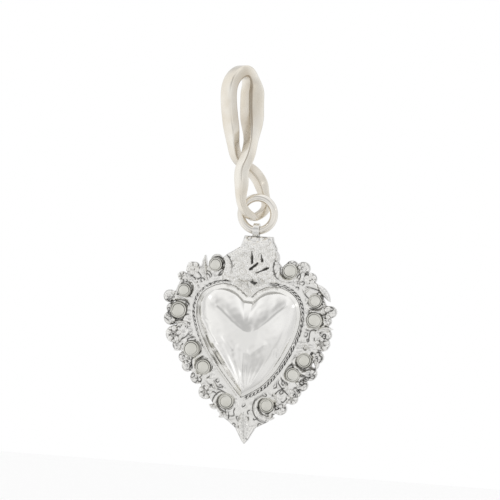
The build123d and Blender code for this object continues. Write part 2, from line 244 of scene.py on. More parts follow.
def spline(points: Array, runs: Array) -> Array:
    """Points on a natural cubic spline through given points, spaced by chord length.

    On each span the curve is the straight blend of its ends plus the cubic blend of the second
    derivatives there, which come from the usual three-term equations with zero at both ends.

    Args:
        points: The points to pass through.
        runs: Where to sample, as shares of the way from the first point to the last.
    Returns:
        One point a run.
    """
    chords = np.linalg.norm(np.diff(points, axis=0), axis=1)
    knots = lengths(points)
    count = len(points)
    matrix = np.eye(count)
    right = np.zeros_like(points)
    inner = np.arange(1, count - 1)
    matrix[inner, inner - 1] = chords[:-1]
    matrix[inner, inner] = 2 * (chords[:-1] + chords[1:])
    matrix[inner, inner + 1] = chords[1:]
    slopes = np.diff(points, axis=0) / chords[:, None]
    right[1:-1] = 6 * (slopes[1:] - slopes[:-1])
    bends = np.linalg.solve(matrix, right)
    places = np.asarray(runs) * knots[-1]
    span = np.clip(np.searchsorted(knots, places, side="right") - 1, 0, count - 2)
    before, after, chord = places - knots[span], knots[span + 1] - places, chords[span]
    before, after, chord = before[:, None], after[:, None], chord[:, None]
    return (
        bends[span] * after**3 / (6 * chord)
        + bends[span + 1] * before**3 / (6 * chord)
        + (points[span] / chord - bends[span] * chord / 6) * after
        + (points[span + 1] / chord - bends[span + 1] * chord / 6) * before
    )


def waves(spots: Array, draw: np.random.Generator, longest: float, count: int = 14) -> Array:
    """A smooth random field: a sum of cosines of random way, length and start, about -1 to 1.

    The ways divide half a turn evenly, each shaken by up to 0.4 of a step. Each length is 0.55 to 1 of the
    longest.

    Args:
        spots: Places (X, Z).
        draw: Where the random numbers come from.
        longest: The longest wave.
        count: How many waves.
    Returns:
        One value a place.
    """
    way = (np.arange(count) + draw.uniform(-0.4, 0.4, count)) / count * TURN / 2
    length = draw.uniform(0.55, 1, count) * longest
    ahead = spots @ (np.stack([np.cos(way), np.sin(way)]) / length * TURN) + draw.uniform(0, TURN, count)
    return np.cos(ahead).sum(-1) / math.sqrt(count)


def shaken_grid(
    low: Array, high: Array, pitch: float, squash: float, shake: float, draw: np.random.Generator
) -> Array:
    """Places on a grid whose every other row is moved on by half a step, each then shaken at random.

    Args:
        low: The grid's lower corner (X, Z).
        high: Its upper corner.
        pitch: The step along a row.
        squash: The step between rows, as a share of the pitch.
        shake: How far a place is shaken either way, as a share of the pitch.
        draw: Where the random numbers come from.
    Returns:
        The places, as rows by columns by two.
    """
    x, z = np.meshgrid(np.arange(low[0], high[0], pitch), np.arange(low[1], high[1], pitch * squash))
    places = np.stack([x + pitch / 2 * (np.arange(len(x)) % 2)[:, None], z], -1)
    return places + draw.uniform(-shake, shake, places.shape) * pitch


# Finishes


class Surface(Enum):
    """How a silver surface was left, by its roughness."""

    POLISHED = 0.09
    BUFFED = 0.13
    SOFT = 0.2
    SATIN = 0.3


class Wiring:
    """A material's nodes, made one at a time."""

    def __init__(self, name: str) -> None:
        """Start a material with no nodes.

        Args:
            name: The material's name.
        """
        self.material = bpy.data.materials.new(name)
        self.material.use_nodes = True
        self.tree = self.material.node_tree
        self.tree.nodes.clear()

    def node(self, kind: str, inputs: Inputs | None = None, **options: str | int) -> bpy.types.Node:
        """Make one node.

        Args:
            kind: The node's type.
            inputs: What goes into each input, by its name or number: a socket is linked, a constant is set.
            options: The node's own options.
        Returns:
            The node.
        """
        made = self.tree.nodes.new(kind)
        for option, choice in options.items():
            setattr(made, option, choice)
        for key, value in (inputs or {}).items():
            if isinstance(value, bpy.types.NodeSocket):
                self.tree.links.new(value, made.inputs[key])
            else:
                made.inputs[key].default_value = value
        return made

    def done(self, shader: bpy.types.NodeSocket) -> bpy.types.Material:
        """End the material with its shader."""
        self.node("ShaderNodeOutputMaterial", {"Surface": shader})
        return self.material


@dataclass(frozen=True)
class SilverFinish:
    """Silver with oxide in its crevices: two close tones, a fine grain, and dark where it is recessed, which
    on the bail is painted shade and a painted dark reflection.

    The grain's scale is a noise's, its depth and the crevices' reach are in millimetres, and a range is a
    pair of ends between which a value is spread.
    """

    name: str
    tone: Tone
    shade: Tone
    surface: Surface
    grain_scale: float
    grain_depth: float
    crevice_reach: float = 0.0
    crevice_strength: float = 1.0
    oxide_and_painted_shade: Tone = (0.04, 0.038, 0.036)
    oxide_roughness: float = 0.4
    cloud_range: tuple[float, float] = (0.35, 0.65)
    roughness_range: tuple[float, float] = (0.8, 1.25)
    crevice_range: tuple[float, float] = (0.62, 0.2)

    def build(self) -> bpy.types.Material:
        """Wire the finish up as shader nodes.

        The tone and the shade mix by a wide noise on object coordinates, which also spreads the roughness
        about the surface's own, and a fine noise gives the grain. The oxide, which on the bail is also
        painted shade and a painted dark reflection, covers both tones and is rougher.

        Returns:
            The material.
        """
        wiring = Wiring(self.name)
        place = wiring.node("ShaderNodeTexCoord").outputs["Object"]
        noises = [
            wiring.node("ShaderNodeTexNoise", {"Scale": scale, "Detail": detail, "Vector": place})
            for scale, detail in ((self.grain_scale, 4), (self.grain_scale / 4, 2))
        ]
        grain, cloud = (noise.outputs["Fac"] for noise in noises)
        low, high = self.cloud_range
        spread = wiring.node("ShaderNodeMapRange", {"From Min": low, "From Max": high, "Value": cloud})
        shares = {"A": (*self.tone, 1), "B": (*self.shade, 1), "Factor": spread.outputs["Result"]}
        tones = wiring.node("ShaderNodeMix", shares, data_type="RGBA")
        dark = self.darkness(wiring)
        # Oxide, and on the bail painted shade and a painted dark reflection, mixed over the tones.
        oxide_and_shade_mix = {"A": tones.outputs["Result"], "B": (*self.oxide_and_painted_shade, 1), "Factor": dark}
        colour = wiring.node("ShaderNodeMix", oxide_and_shade_mix, data_type="RGBA")
        low, high = (self.surface.value * share for share in self.roughness_range)
        rough = wiring.node("ShaderNodeMapRange", {"To Min": low, "To Max": high, "Value": cloud})
        rougher = {0: dark, 1: self.oxide_roughness, 2: rough.outputs["Result"]}
        duller = wiring.node("ShaderNodeMath", rougher, operation="MULTIPLY_ADD")
        heights = {"Strength": 1, "Distance": self.grain_depth * MM, "Height": grain}
        relief = wiring.node("ShaderNodeBump", heights)
        shader = wiring.node(
            "ShaderNodeBsdfPrincipled",
            {
                "Base Color": colour.outputs["Result"],
                "Metallic": 1,
                "Roughness": duller.outputs["Value"],
                "Normal": relief.outputs["Normal"],
            },
        )
        return wiring.done(shader.outputs["BSDF"])

    def darkness(self, wiring: Wiring) -> bpy.types.NodeSocket:
        """The share of oxide at a point, and on the bail of painted shade and a painted dark reflection: its
        recess, or more where surfaces crowd it within the reach.

        Args:
            wiring: The material's nodes.
        Returns:
            The socket that carries the share, 0 to 1.
        """
        recess = wiring.node("ShaderNodeAttribute", attribute_name="recess").outputs["Fac"]
        if not self.crevice_reach:
            return recess
        crowd = wiring.node("ShaderNodeAmbientOcclusion", {"Distance": self.crevice_reach * MM}, samples=12)
        open_end, shut_end = self.crevice_range
        ends = {"From Min": open_end, "From Max": shut_end, "To Max": self.crevice_strength}
        ends["Value"] = crowd.outputs["AO"]
        shut = wiring.node("ShaderNodeMapRange", ends, interpolation_type="SMOOTHSTEP")
        both = {0: recess, 1: shut.outputs["Result"]}
        return wiring.node("ShaderNodeMath", both, operation="MAXIMUM").outputs["Value"]


@dataclass(frozen=True)
class Finishes:
    """Every finish on the object."""

    # The bail's dark tan is oxide where surfaces crowd, and also its painted shade inside the loop and
    # painted dark reflection along one corner.
    bail: SilverFinish = SilverFinish(
        "bail_silver", (0.88, 0.845, 0.775), (0.79, 0.73, 0.63), Surface.SOFT,
        grain_scale=1100, grain_depth=0.02, crevice_reach=0.5, crevice_strength=0.3, oxide_and_painted_shade=(0.3, 0.22, 0.13),
    )
    ring: SilverFinish = SilverFinish(
        "ring_silver", (0.9, 0.87, 0.82), (0.86, 0.82, 0.75), Surface.POLISHED,
        grain_scale=1200, grain_depth=0.003,
    )
    dome: SilverFinish = SilverFinish(
        "dome_silver", (0.93, 0.92, 0.9), (0.9, 0.89, 0.865), Surface.BUFFED,
        grain_scale=500, grain_depth=0.006,
    )
    scroll: SilverFinish = SilverFinish(
        "scroll_silver", (0.82, 0.81, 0.76), (0.76, 0.75, 0.69), Surface.SATIN,
        grain_scale=1600, grain_depth=0.012, crevice_reach=0.07, crevice_strength=0.25,
    )
    relief: SilverFinish = SilverFinish(
        "relief_silver", (0.92, 0.91, 0.885), (0.87, 0.86, 0.83), Surface.SOFT,
        grain_scale=1800, grain_depth=0.01, crevice_reach=0.09, crevice_strength=0.4,
    )
    plate: SilverFinish = SilverFinish(
        "plate_silver", (0.88, 0.87, 0.85), (0.83, 0.82, 0.8), Surface.SATIN,
        grain_scale=1300, grain_depth=0.01, crevice_reach=0.3, crevice_strength=0.8,
    )


def link(name: str, data: bpy.types.ID) -> bpy.types.Object:
    """Make an object of a mesh, a lamp or a camera, and put it into the scene.

    Args:
        name: The object's name.
        data: What it shows.
    Returns:
        The object.
    """
    made = bpy.data.objects.new(name, data)
    bpy.context.scene.collection.objects.link(made)
    return made


class Dresser:
    """Turns shells into pieces of the object: a finish, a body to ride on, and the solids they stand for."""

    def __init__(self, finishes: Finishes) -> None:
        """Build every finish once."""
        self.materials = {finish.name: finish.build() for finish in vars(finishes).values()}

    def place(self, name: str, shell: Shell, finish: str, body: str, *stands_for: str) -> None:
        """Make one piece of the object.

        Args:
            name: The piece's name.
            shell: Its mesh as arrays, in the frame.
            finish: The name of its finish.
            body: The body that it moves with.
            stands_for: The solids that it replaces.
        """
        piece = link(name, shell.mesh(name))
        piece.data.materials.append(self.materials[finish])
        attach(piece, body)
        if stands_for:
            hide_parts(*stands_for)
        log.info("%s: %d faces on %s", name, len(piece.data.polygons), body)

    def dress(self, node: str, finish: str) -> None:
        """Give a solid that stays in view a finish.

        Args:
            node: The solid's name.
            finish: The name of its finish.
        """
        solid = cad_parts[node]
        solid.data.materials.clear()
        solid.data.materials.append(self.materials[finish])
        log.info("%s: kept", node)


# The charm's plan


@dataclass(frozen=True)
class Plan:
    """Where places on the charm's plate lie: across from the middle, and down from the crown, as shares.

    The width of an ornament is given in units, of which the charm's width holds 24.
    """

    width: float = 23.6 * MM
    height: float = 28.1 * MM
    unit: float = 23.6 / 24 * MM
    crown_drop: float = 2.95 * MM
    ring_x: float = 3.0525 * MM
    ring_z: float = -18.4575 * MM
    front_y: float = -0.45 * MM

    def at(self, across: float, down: float) -> Array:
        """The place (X, Z) of a pair of shares."""
        x, z = self.ring_x + across * self.width, self.ring_z - self.crown_drop - down * self.height
        return np.array([x, z])

    def lift(self, flat: Array, rise: Array) -> Array:
        """Stand points on the plate's face.

        Args:
            flat: Places (X, Z).
            rise: How far each stands out to the front.
        Returns:
            Places (X, Y, Z).
        """
        return np.stack([flat[..., 0], self.front_y - rise, flat[..., 1]], -1)

    def mound(
        self, rim: Array, middle: Array, rise: Callable[[Array, Array], Array],
        recess: Callable[[Array, Array], Array] | None = None, *, rows: int, power: float = 1.0,
    ) -> Shell:
        """A closed relief over a round outline: rings drawn in from the rim to the middle, and raised.

        A point is the middle plus a share of the way to the rim. Its height is the formula's value for that
        share and the rim point's angle. Below the rim a skirt goes straight down to a flat underside.

        Args:
            rim: The outline's points (X, Z), in order.
            middle: The place (X, Z) that the rings shrink to.
            rise: Height from the share and the angle, both as arrays of rings by points.
            recess: How far a point is recessed from the same two arrays, or None.
            rows: How many rings there are.
            power: Above 1, the rings crowd towards the rim.
        Returns:
            The closed shell.
        """
        columns = len(rim)
        shares = 1 - (1 - np.linspace(0, 1, rows + 1)[1:]) ** power
        share, angle = np.meshgrid(shares, polar(rim, middle)[1], indexing="ij")
        top = self.lift(middle + share[..., None] * (rim - middle), rise(share, angle))
        base = self.lift(rim, np.full(columns, -SINK))
        zero = np.zeros((1, 1))
        ends = self.lift(np.stack([middle, middle]), np.array([rise(zero, zero)[0, 0], -SINK]))
        points = np.concatenate([top.reshape(-1, 3), base, ends])
        count = len(points)
        triangles = np.concatenate([fan(0, columns, count - 2), fan(rows * columns, columns, count - 1)])
        depth = np.zeros(share.shape) if recess is None else recess(share, angle)
        depth = np.concatenate([depth.ravel(), depth[-1], [depth[0].mean(), 0]])
        return Shell(points, grid_quads(rows + 1, columns), triangles, depth)


def circle(middle: Array, radius: Array | float, count: int) -> Array:
    """Points of a circle, or of a round outline whose radius changes with the angle."""
    angle = np.arange(count) / count * TURN
    return middle + (np.stack([np.cos(angle), np.sin(angle)], -1).T * radius).T


# The hanging parts


@dataclass
class Bail:
    """The bent bail: a squared wire with soft edges, carried round one closed line that crosses itself.

    A row of line_shares is a place on the line, as shares of the width, depth and height. A row of
    section_shares is a share of the line's length, and the wire's width and thickness there in millimetres.
    """

    width: float = 5.5 * MM
    depth: float = 3.5 * MM
    height: float = 19.7 * MM
    foot_drop_share: float = 0.025
    edge_share: float = 0.2
    turn: float = 45
    stations: int = 420
    corner_points: int = 8
    # The inside fields paint shade where the wire faces the loop's inside.
    inside_lift: float = 2 * MM
    inside_lean: float = 0.25
    inside_painted_shade: float = 0.22
    inside_facing: tuple[float, float] = (0.2, 0.9)
    # Painted dark reflection along one rounded corner of the wire.
    edge_painted_reflection: float = 0.5
    edge_corner: float = 3.5
    edge_points: float = 1.6
    edge_runs: tuple[float, float, float, float] = (0.1, 0.2, 0.62, 0.7)
    line_shares: tuple[tuple[float, float, float], ...] = (
        (-0.09, -0.02, 0.0), (-0.205, -0.214, 0.02), (-0.345, -0.43, 0.074), (-0.391, -0.5, 0.137),
        (-0.396, -0.5, 0.219), (-0.417, -0.47, 0.29), (-0.395, -0.43, 0.34), (-0.325, -0.36, 0.397),
        (-0.285, -0.22, 0.463), (-0.292, 0.17, 0.615), (-0.355, 0.42, 0.788), (-0.405, 0.36, 0.935),
        (-0.555, 0.0, 1.0), (-0.78, -0.36, 0.945), (-0.85, -0.46, 0.798), (-0.758, -0.28, 0.6),
        (-0.7, 0.12, 0.463), (-0.61, 0.31, 0.397), (-0.35, 0.42, 0.34), (-0.135, 0.44, 0.288),
        (-0.01, 0.455, 0.234), (0.085, 0.49, 0.158), (0.16, 0.4, 0.08), (0.045, 0.22, 0.025),
        (-0.09, 0.02, 0.0),
    )
    section_shares: tuple[tuple[float, float, float], ...] = (
        (0.0, 1.15, 1.0), (0.06, 1.15, 1.0), (0.13, 1.75, 1.38), (0.24, 1.75, 1.38), (0.34, 2.75, 2.5),
        (0.4, 2.75, 2.5), (0.455, 2.2, 1.5), (0.505, 2.2, 1.5), (0.57, 2.3, 1.28), (0.66, 2.3, 1.28),
        (0.74, 1.6, 1.1), (0.79, 1.6, 1.1), (0.84, 1.75, 1.38), (0.87, 1.75, 1.38), (0.93, 1.15, 1.0),
        (1.0, 1.15, 1.0),
    )

    def section(self) -> tuple[Array, Array]:
        """A rectangle with round corners, in two parts that the wire's sizes then scale.

        Each corner is a quarter circle of unit radius, and the straight sides join them.

        Returns:
            The sign of each point's corner, and its place on the quarter circle.
        """
        corner, step = np.divmod(np.arange(4 * self.corner_points), self.corner_points)
        angle = (step / (self.corner_points - 1) + corner) * TURN / 4
        signs = np.array([[1, 1], [-1, 1], [-1, -1], [1, -1]])
        return signs[corner], np.stack([np.cos(angle), np.sin(angle)], -1)

    def girth(self, runs: Array) -> Array:
        """The wire's sizes along its line, each span of the table eased by the smooth step.

        Args:
            runs: Shares of the line's length.
        Returns:
            The width and the thickness at each.
        """
        table = np.array(self.section_shares)
        span = np.clip(np.searchsorted(table[:, 0], runs, side="right") - 1, 0, len(table) - 2)
        start, end = table[span], table[span + 1]
        ease = smoothstep((runs - start[:, 0]) / (end[:, 0] - start[:, 0]), 0, 1)[:, None]
        return (start[:, 1:] + (end[:, 1:] - start[:, 1:]) * ease) * MM

    def shell(self, plan: Plan) -> Shell:
        """Carry the section round the line, its wide side turned as the solid has it.

        Args:
            plan: The charm's plan.
        Returns:
            The closed wire.
        """
        shares = np.array(self.line_shares) - (0, 0, self.foot_drop_share)
        runs = np.linspace(0, 1, self.stations)
        line = spline((plan.ring_x, 0, plan.ring_z) + shares * (self.width, self.depth, self.height), runs)
        along = unit_rows(np.gradient(line, axis=0))
        turn = math.radians(self.turn)
        side = np.array([math.sin(turn), -math.cos(turn), 0])
        wide = unit_rows(side - along * (along @ side)[:, None])
        thick = np.cross(along, wide)
        size = self.girth(runs)[:, None]
        radius = self.edge_share * size[..., 1:]
        corner, arc = self.section()
        flat = corner * (size / 2 - radius) + arc * radius
        rings = line[:, None] + flat[..., :1] * wide[:, None] + flat[..., 1:] * thick[:, None]
        # Painted shade inside the loop and a painted dark reflection along one corner, carried as the recess.
        painted_shade_and_reflection = self.painted_shade_and_reflection(line, rings, size[..., 1] / 2, runs)
        return tube(rings[:-1], closed=True, recess=painted_shade_and_reflection[:-1])

    def painted_shade_and_reflection(self, line: Array, rings: Array, half: Array, runs: Array) -> Array:
        """How dark each point is painted: a little painted shade where it faces the loop's inside, and a
        painted dark reflection along one corner.

        Facing is the point's distance from the wire's line towards the loop's middle, over half the
        thickness. The corner's line is a bell round the section, and fades in and out along the wire.

        Args:
            line: The wire's line.
            rings: The points about each of the line's.
            half: Half the wire's thickness at each.
            runs: The share of the length at each.
        Returns:
            The darkness of each point of the rings, 0 to 1.
        """
        # Painted shade: darker where the wire faces the loop's middle.
        inward = unit_rows((line.mean(0) + (0, 0, self.inside_lift) - line) * (1, 1, self.inside_lean))
        facing = ((rings - line[:, None]) * inward[:, None]).sum(-1) / half
        # Painted dark reflection: a bell round one corner of the section, faded in and out along the wire.
        around = np.arange(rings.shape[1]) - self.edge_corner * self.corner_points
        start, full, fading, end = self.edge_runs
        kept = smoothstep(runs, start, full) * fade(runs, fading, end)
        edge = bump(around, 0, self.edge_points) * kept[:, None]
        return self.inside_painted_shade * smoothstep(facing, *self.inside_facing) + self.edge_painted_reflection * edge


@dataclass
class JumpRing:
    """The jump ring: a round wire bent into a circle, with a hairline where its ends meet."""

    radius: float = 2.23 * MM
    wire: float = 1.08 * MM
    seam_angle: float = 262
    seam_width: float = 0.008
    seam_depth: float = 0.03 * MM
    seam_tarnish: float = 0.8
    stations: int = 260
    wire_points: int = 40

    def shell(self, plan: Plan) -> Shell:
        """A torus: a circle of the wire's radius carried round a circle, drawn in a little at the seam.

        Args:
            plan: The charm's plan.
        Returns:
            The closed ring.
        """
        seam = math.radians(self.seam_angle)
        even = np.linspace(0, TURN, self.stations, endpoint=False)
        over_seam = seam + np.linspace(-2, 2, 9) * self.seam_width
        around = np.sort(np.concatenate([even, over_seam]))[:, None]
        about = np.linspace(0, TURN, self.wire_points, endpoint=False)
        notch = bump(around, seam, self.seam_width)
        girth = self.wire / 2 - self.seam_depth * notch
        out = self.radius + girth * np.cos(about)
        x, z = plan.ring_x + out * np.cos(around), plan.ring_z + out * np.sin(around)
        rings = np.stack([x, -girth * np.sin(about), z], -1)
        return tube(rings, closed=True, recess=np.repeat(self.seam_tarnish * notch, len(about), 1))


# The heart


@dataclass
class Heart:
    """The pressed heart, the strip that stands round it and the twisted wire outside the strip.

    The side's shares are across from the middle over half the width, and down from the top over the height. A
    row of worn places is a share of the side's length and the share of the wire's size left there. A row of
    creases is a height, a width, and then the places (X, Z) that the crease joins, all in millimetres. A row
    of streaks is a strength, how many there are in a turn, and the angle that they start at.
    """

    middle_share: float = -0.0115
    top_share: float = 0.226
    tip_share: float = 0.776
    half_width_share: float = 0.3145
    rope_wire: float = 0.58 * MM
    rope_pitch: float = 1.2 * MM
    rope_top: float = 0.61 * MM
    strand_swell: float = 1.15
    strand_points: int = 12
    strand_steps: int = 14
    dark_about: tuple[float, float] = (-1.0, -0.1)
    dark_turn: tuple[float, float] = (-0.7, 0.3)
    dark_left: tuple[float, float] = (0.3, 0.45)
    trim_gap: float = 0.05 * MM
    rim_width: float = 0.42 * MM
    rim_over_wall: float = 0.12 * MM
    rim_under_dome: float = 0.1 * MM
    rim_outer_height: float = 0.5 * MM
    rim_points: int = 13
    dome_rise: float = 2.7 * MM
    wall_rise: float = 0.85 * MM
    swell_power: float = 3.1
    swell_root: float = 0.94
    dome_middle_share: float = 0.42
    dome_rows: int = 90
    dome_crowding: float = 1.6
    relief_fade: float = 0.2
    rope_shares: tuple[float, float] = (0.15, 0.965)
    side_samples: int = 240
    end_samples: int = 80
    outline_points: int = 480
    right_shares: Route = (
        (0.0, 0.11), (0.2, 0.03), (0.47, 0.0), (0.73, 0.035), (0.91, 0.11), (0.99, 0.21),
        (0.99, 0.33), (0.93, 0.45), (0.82, 0.58), (0.64, 0.74), (0.37, 0.9), (-0.05, 1.03),
    )
    left_shares: Route = (
        (0.0, 0.11), (-0.2, 0.03), (-0.47, 0.0), (-0.73, 0.035), (-0.92, 0.11), (-1.0, 0.21),
        (-0.99, 0.33), (-0.9, 0.46), (-0.78, 0.58), (-0.62, 0.7), (-0.34, 0.87), (-0.05, 1.03),
    )
    valley_vertex: tuple[float, float] = (0.24 * MM, -6.75 * MM)
    valley_slope: float = 0.62
    valley_round: float = 0.5 * MM
    valley_depth: float = 0.5
    valley_reach: tuple[float, float] = (-0.9 * MM, 4.6 * MM)
    valley_arms: tuple[float, float] = (2.4 * MM, 5.6 * MM)
    ridge_height: float = 0.05 * MM
    ridge_drop: float = 2.1 * MM
    ridge_width: float = 0.6 * MM
    ridge_arms: tuple[float, float] = (0.8 * MM, 2.2 * MM)
    streak_drop: float = 8.6 * MM
    streak_fall: tuple[float, float] = (-0.2 * MM, 1.8 * MM)
    streaks: tuple[tuple[float, float, float], ...] = ((0.7, 13, 0.0), (0.49, 23, 1.3), (0.35, 37, 0.4))
    clouds: float = 0.5
    cloud_length: float = 4.2 * MM
    ripple: float = 0.028 * MM
    dent: float = 0.005 * MM
    dent_length: float = 1.3 * MM
    dent_waves: int = 24
    seed: int = 5
    worn_left: Route = ((0.15, 0.35), (0.25, 0.45), (0.5, 0.42), (0.62, 0.28), (1.0, 0.25))
    worn_right: Route = (
        (0.15, 0.4), (0.22, 0.6), (0.35, 0.5), (0.5, 0.42), (0.7, 0.45),
        (0.8, 0.6), (0.88, 0.92), (0.94, 0.8), (1.0, 0.45),
    )
    creases: tuple[Spec, ...] = (
        (0.07, 0.34, -4.03, -3.41, -3.17, -4.04, -1.29, -5.68, -0.28, -6.43, 0.64, -6.91),
        (0.07, 0.32, 0.61, -6.91, 1.47, -6.45, 2.37, -5.58, 3.15, -4.86, 3.92, -4.0, 5.3, -2.7),
        (0.06, 0.32, -0.69, -8.62, 0.16, -9.1, 0.88, -9.6),
        (0.06, 0.32, 0.88, -9.6, 1.66, -8.88, 2.64, -8.14),
        (0.06, 0.36, -5.3, -6.6, -4.27, -7.62, -3.82, -8.26),
        (0.13, 0.34, -4.21, -8.56, -3.03, -9.97, -1.64, -12.32, -0.5, -14.4),
        (0.045, 0.24, -2.89, -7.4, -1.64, -8.94),
        (0.12, 0.36, 5.85, -7.12, 5.24, -8.38, 4.66, -10.04),
        (-0.08, 0.28, 4.15, -8.99, 4.29, -10.06),
        (-0.05, 0.3, 0.74, -5.82, 0.77, -6.36),
        (-0.05, 0.16, -6.47, -4.23, -6.29, -4.9, -4.87, -5.62),
        (0.05, 0.4, -6.15, -2.72, -5.69, -3.51),
    )

    def datum(self, plan: Plan) -> tuple[Array, float, float]:
        """The middle of the heart's top (X, Z), half its width and its height."""
        top = plan.at(self.middle_share, self.top_share)
        return top, self.half_width_share * plan.width, (self.tip_share - self.top_share) * plan.height

    def side(self, plan: Plan, shares: Route, inset: float) -> Array:
        """One side of the heart's line, from the cleft to the tip, moved in by an inset along its own normal.

        Args:
            plan: The charm's plan.
            shares: The side's places.
            inset: How far in.
        Returns:
            Points (X, Z).
        """
        top, half_width, height = self.datum(plan)
        line = spline(top + np.array(shares) * (half_width, -height), np.linspace(0, 1, self.side_samples))
        return line + rightwards(np.gradient(line, axis=0)) * np.sign(shares[2][0]) * inset

    def outline(self, plan: Plan, inset: float) -> Array:
        """The whole heart moved in by an inset, clipped where its two sides cross, and spaced evenly.

        Args:
            plan: The charm's plan.
            inset: How far in.
        Returns:
            Points (X, Z), starting at the cleft and going round by the right.
        """
        right, left = self.side(plan, self.right_shares, inset), self.side(plan, self.left_shares, inset)
        ends = []
        for flip in (1, -1):
            first, second = right[::flip][: self.end_samples], left[::flip][: self.end_samples]
            gaps = np.linalg.norm(first[:, None] - second[None], axis=-1)
            ends.append(np.unravel_index(np.argmin(gaps), gaps.shape))
        (first, first_left), (last, last_left) = ends
        right = right[first : self.side_samples - last]
        left = left[first_left : self.side_samples - last_left]
        return looped(np.concatenate([right, left[::-1][1:-1]]), self.outline_points, by_length=True)

    def above_valley(self, flat: Array) -> Array:
        """How far above the V each place lies: its height less the slope times the way across."""
        x, z = np.moveaxis(flat - self.valley_vertex, -1, 0)
        return z - self.valley_slope * np.hypot(x, self.valley_round)

    def worked(self, flat: Array) -> Array:
        """The dome's fine relief: streaks, clouds, dents and creases.

        The streaks are cosines of the angle about a point far below the V, and fade towards the V. The clouds
        and the dents are random fields.

        Args:
            flat: Places (X, Z) from the middle of the heart's top.
        Returns:
            The height at each place.
        """
        x, z = np.moveaxis(flat - self.valley_vertex, -1, 0)
        angle = np.arctan2(x, z + self.streak_drop)
        streaks = sum(strength * np.cos(count * angle + start) for strength, count, start in self.streaks)
        streaks = streaks * smoothstep(-self.above_valley(flat), *self.streak_fall)
        spots, shape = flat.reshape(-1, 2), flat.shape[:-1]
        first, second = (np.random.default_rng(self.seed + step) for step in (0, 1))
        clouds = waves(spots, first, self.cloud_length).reshape(shape)
        dents = waves(spots, second, self.dent_length, self.dent_waves).reshape(shape)
        return self.ripple * (streaks + self.clouds * clouds) + self.dent * dents + self.creased(flat)

    def dome(self, plan: Plan) -> Shell:
        """The pressed heart: a swelling over a low wall, dipped in a wide V, with a fine relief.

        The swelling is a power a little below 1 of (1 - share to the swell power). The dip takes a share of
        the height away above the V and fades along its arms, and a low ridge lies below the V.

        Args:
            plan: The charm's plan.
        Returns:
            The closed dome.
        """
        rim = self.outline(plan, self.rope_wire / 2 + self.rim_width + 2 * self.trim_gap)
        top, _, height = self.datum(plan)
        middle = top - (0, self.dome_middle_share * height)

        def rise(share: Array, angle: Array) -> Array:
            """The dome's height.

            Args:
                share: Shares of the way to the rim.
                angle: The rim points' angles.
            Returns:
                The height at each.
            """
            flat = middle - top + share[..., None] * (rim - middle)
            aside, above = np.abs(flat[..., 0] - self.valley_vertex[0]), self.above_valley(flat)
            swell = (1 - share**self.swell_power) ** self.swell_root
            swell = self.wall_rise + (self.dome_rise - self.wall_rise) * swell
            dip = self.valley_depth * smoothstep(above, *self.valley_reach) * fade(aside, *self.valley_arms)
            ridge = self.ridge_height * bump(above, -self.ridge_drop, self.ridge_width)
            ridge = ridge * fade(aside, *self.ridge_arms) * (1 - share)
            fine = self.worked(flat) * smoothstep(1 - share, 0, self.relief_fade)
            return np.minimum(swell * (1 - dip) + ridge + fine, self.dome_rise)

        return plan.mound(rim, middle, rise, rows=self.dome_rows, power=self.dome_crowding)

    def swept(self, plan: Plan, path: Array, profile: Array) -> Shell:
        """Carry an outline round a closed line on the plate's face.

        Args:
            plan: The charm's plan.
            path: The line's points (X, Z).
            profile: The outline, as pairs of a place inwards and a height.
        Returns:
            The closed ring.
        """
        inward = rightwards(np.roll(path, -1, 0) - np.roll(path, 1, 0))
        flat = path[:, None] + inward[:, None] * profile[None, :, :1]
        return tube(plan.lift(flat, np.broadcast_to(profile[:, 1], flat.shape[:2])), closed=True)

    def rim(self, plan: Plan) -> Shell:
        """The strip: one straight bank that falls from under the dome's edge to the wire, with upright sides.

        Args:
            plan: The charm's plan.
        Returns:
            The closed strip.
        """
        half = self.rim_width / 2 + 1.2 * self.trim_gap
        inner, high = half + self.rim_under_dome, self.wall_rise + self.rim_over_wall
        share = np.linspace(0, 1, self.rim_points)
        bank = np.stack([inner - (inner + half) * share, high - (high - self.rim_outer_height) * share], -1)
        profile = np.concatenate([[(inner, -SINK)], bank, [(-half, -SINK)]])
        return self.swept(plan, self.outline(plan, self.rope_wire / 2 + self.trim_gap + half), profile)

    def rope(self, plan: Plan, shares: Route, worn: Route) -> Shell:
        """Half of the twisted wire: two round strands that turn about the heart's line, one pitch a turn.

        A strand's middle is the line's point plus the radius times (cosine, sine) of its turn, and its own
        skin is a circle of the radius times the strand's swell. The radius is a quarter of the wire's size,
        worn down by a share that runs straight between the given places. The strands' tops stay at one
        height. A strand is dark low on its own skin and where it turns below the other, if enough is left.

        Args:
            plan: The charm's plan.
            shares: The side's places.
            worn: Places along the side and the share of the wire's size left at each.
        Returns:
            Both strands.
        """
        line = self.side(plan, shares, 0)
        steps = lengths(line)
        first, last = self.rope_shares
        turns = round(steps[-1] * (last - first) / self.rope_pitch)
        runs = np.linspace(first, last, turns * self.strand_steps)
        core = between(line, steps, runs * steps[-1])
        across = rightwards(np.gradient(core, axis=0))[:, None]
        left = np.interp(runs, *np.array(worn).T)[:, None]
        radius = self.rope_wire / 4 * left
        about = np.linspace(0, TURN, self.strand_points, endpoint=False)
        strands = []
        for start in (0, TURN / 2):
            turn = (np.linspace(0, turns * TURN, len(runs)) + start)[:, None]
            sideways = radius * (np.cos(turn) + self.strand_swell * np.cos(about))
            upwards = radius * (np.sin(turn) + self.strand_swell * np.sin(about))
            low = smoothstep(-np.sin(about), *self.dark_about) + smoothstep(-np.sin(turn), *self.dark_turn)
            depth = np.clip(low, 0, 1) * smoothstep(left, *self.dark_left)
            height = self.rope_top - (1 + self.strand_swell) * radius + upwards
            places = plan.lift(core[:, None] + across * sideways[..., None], height)
            strands.append(tube(places, closed=False, recess=depth))
        return Shell.joined(strands)

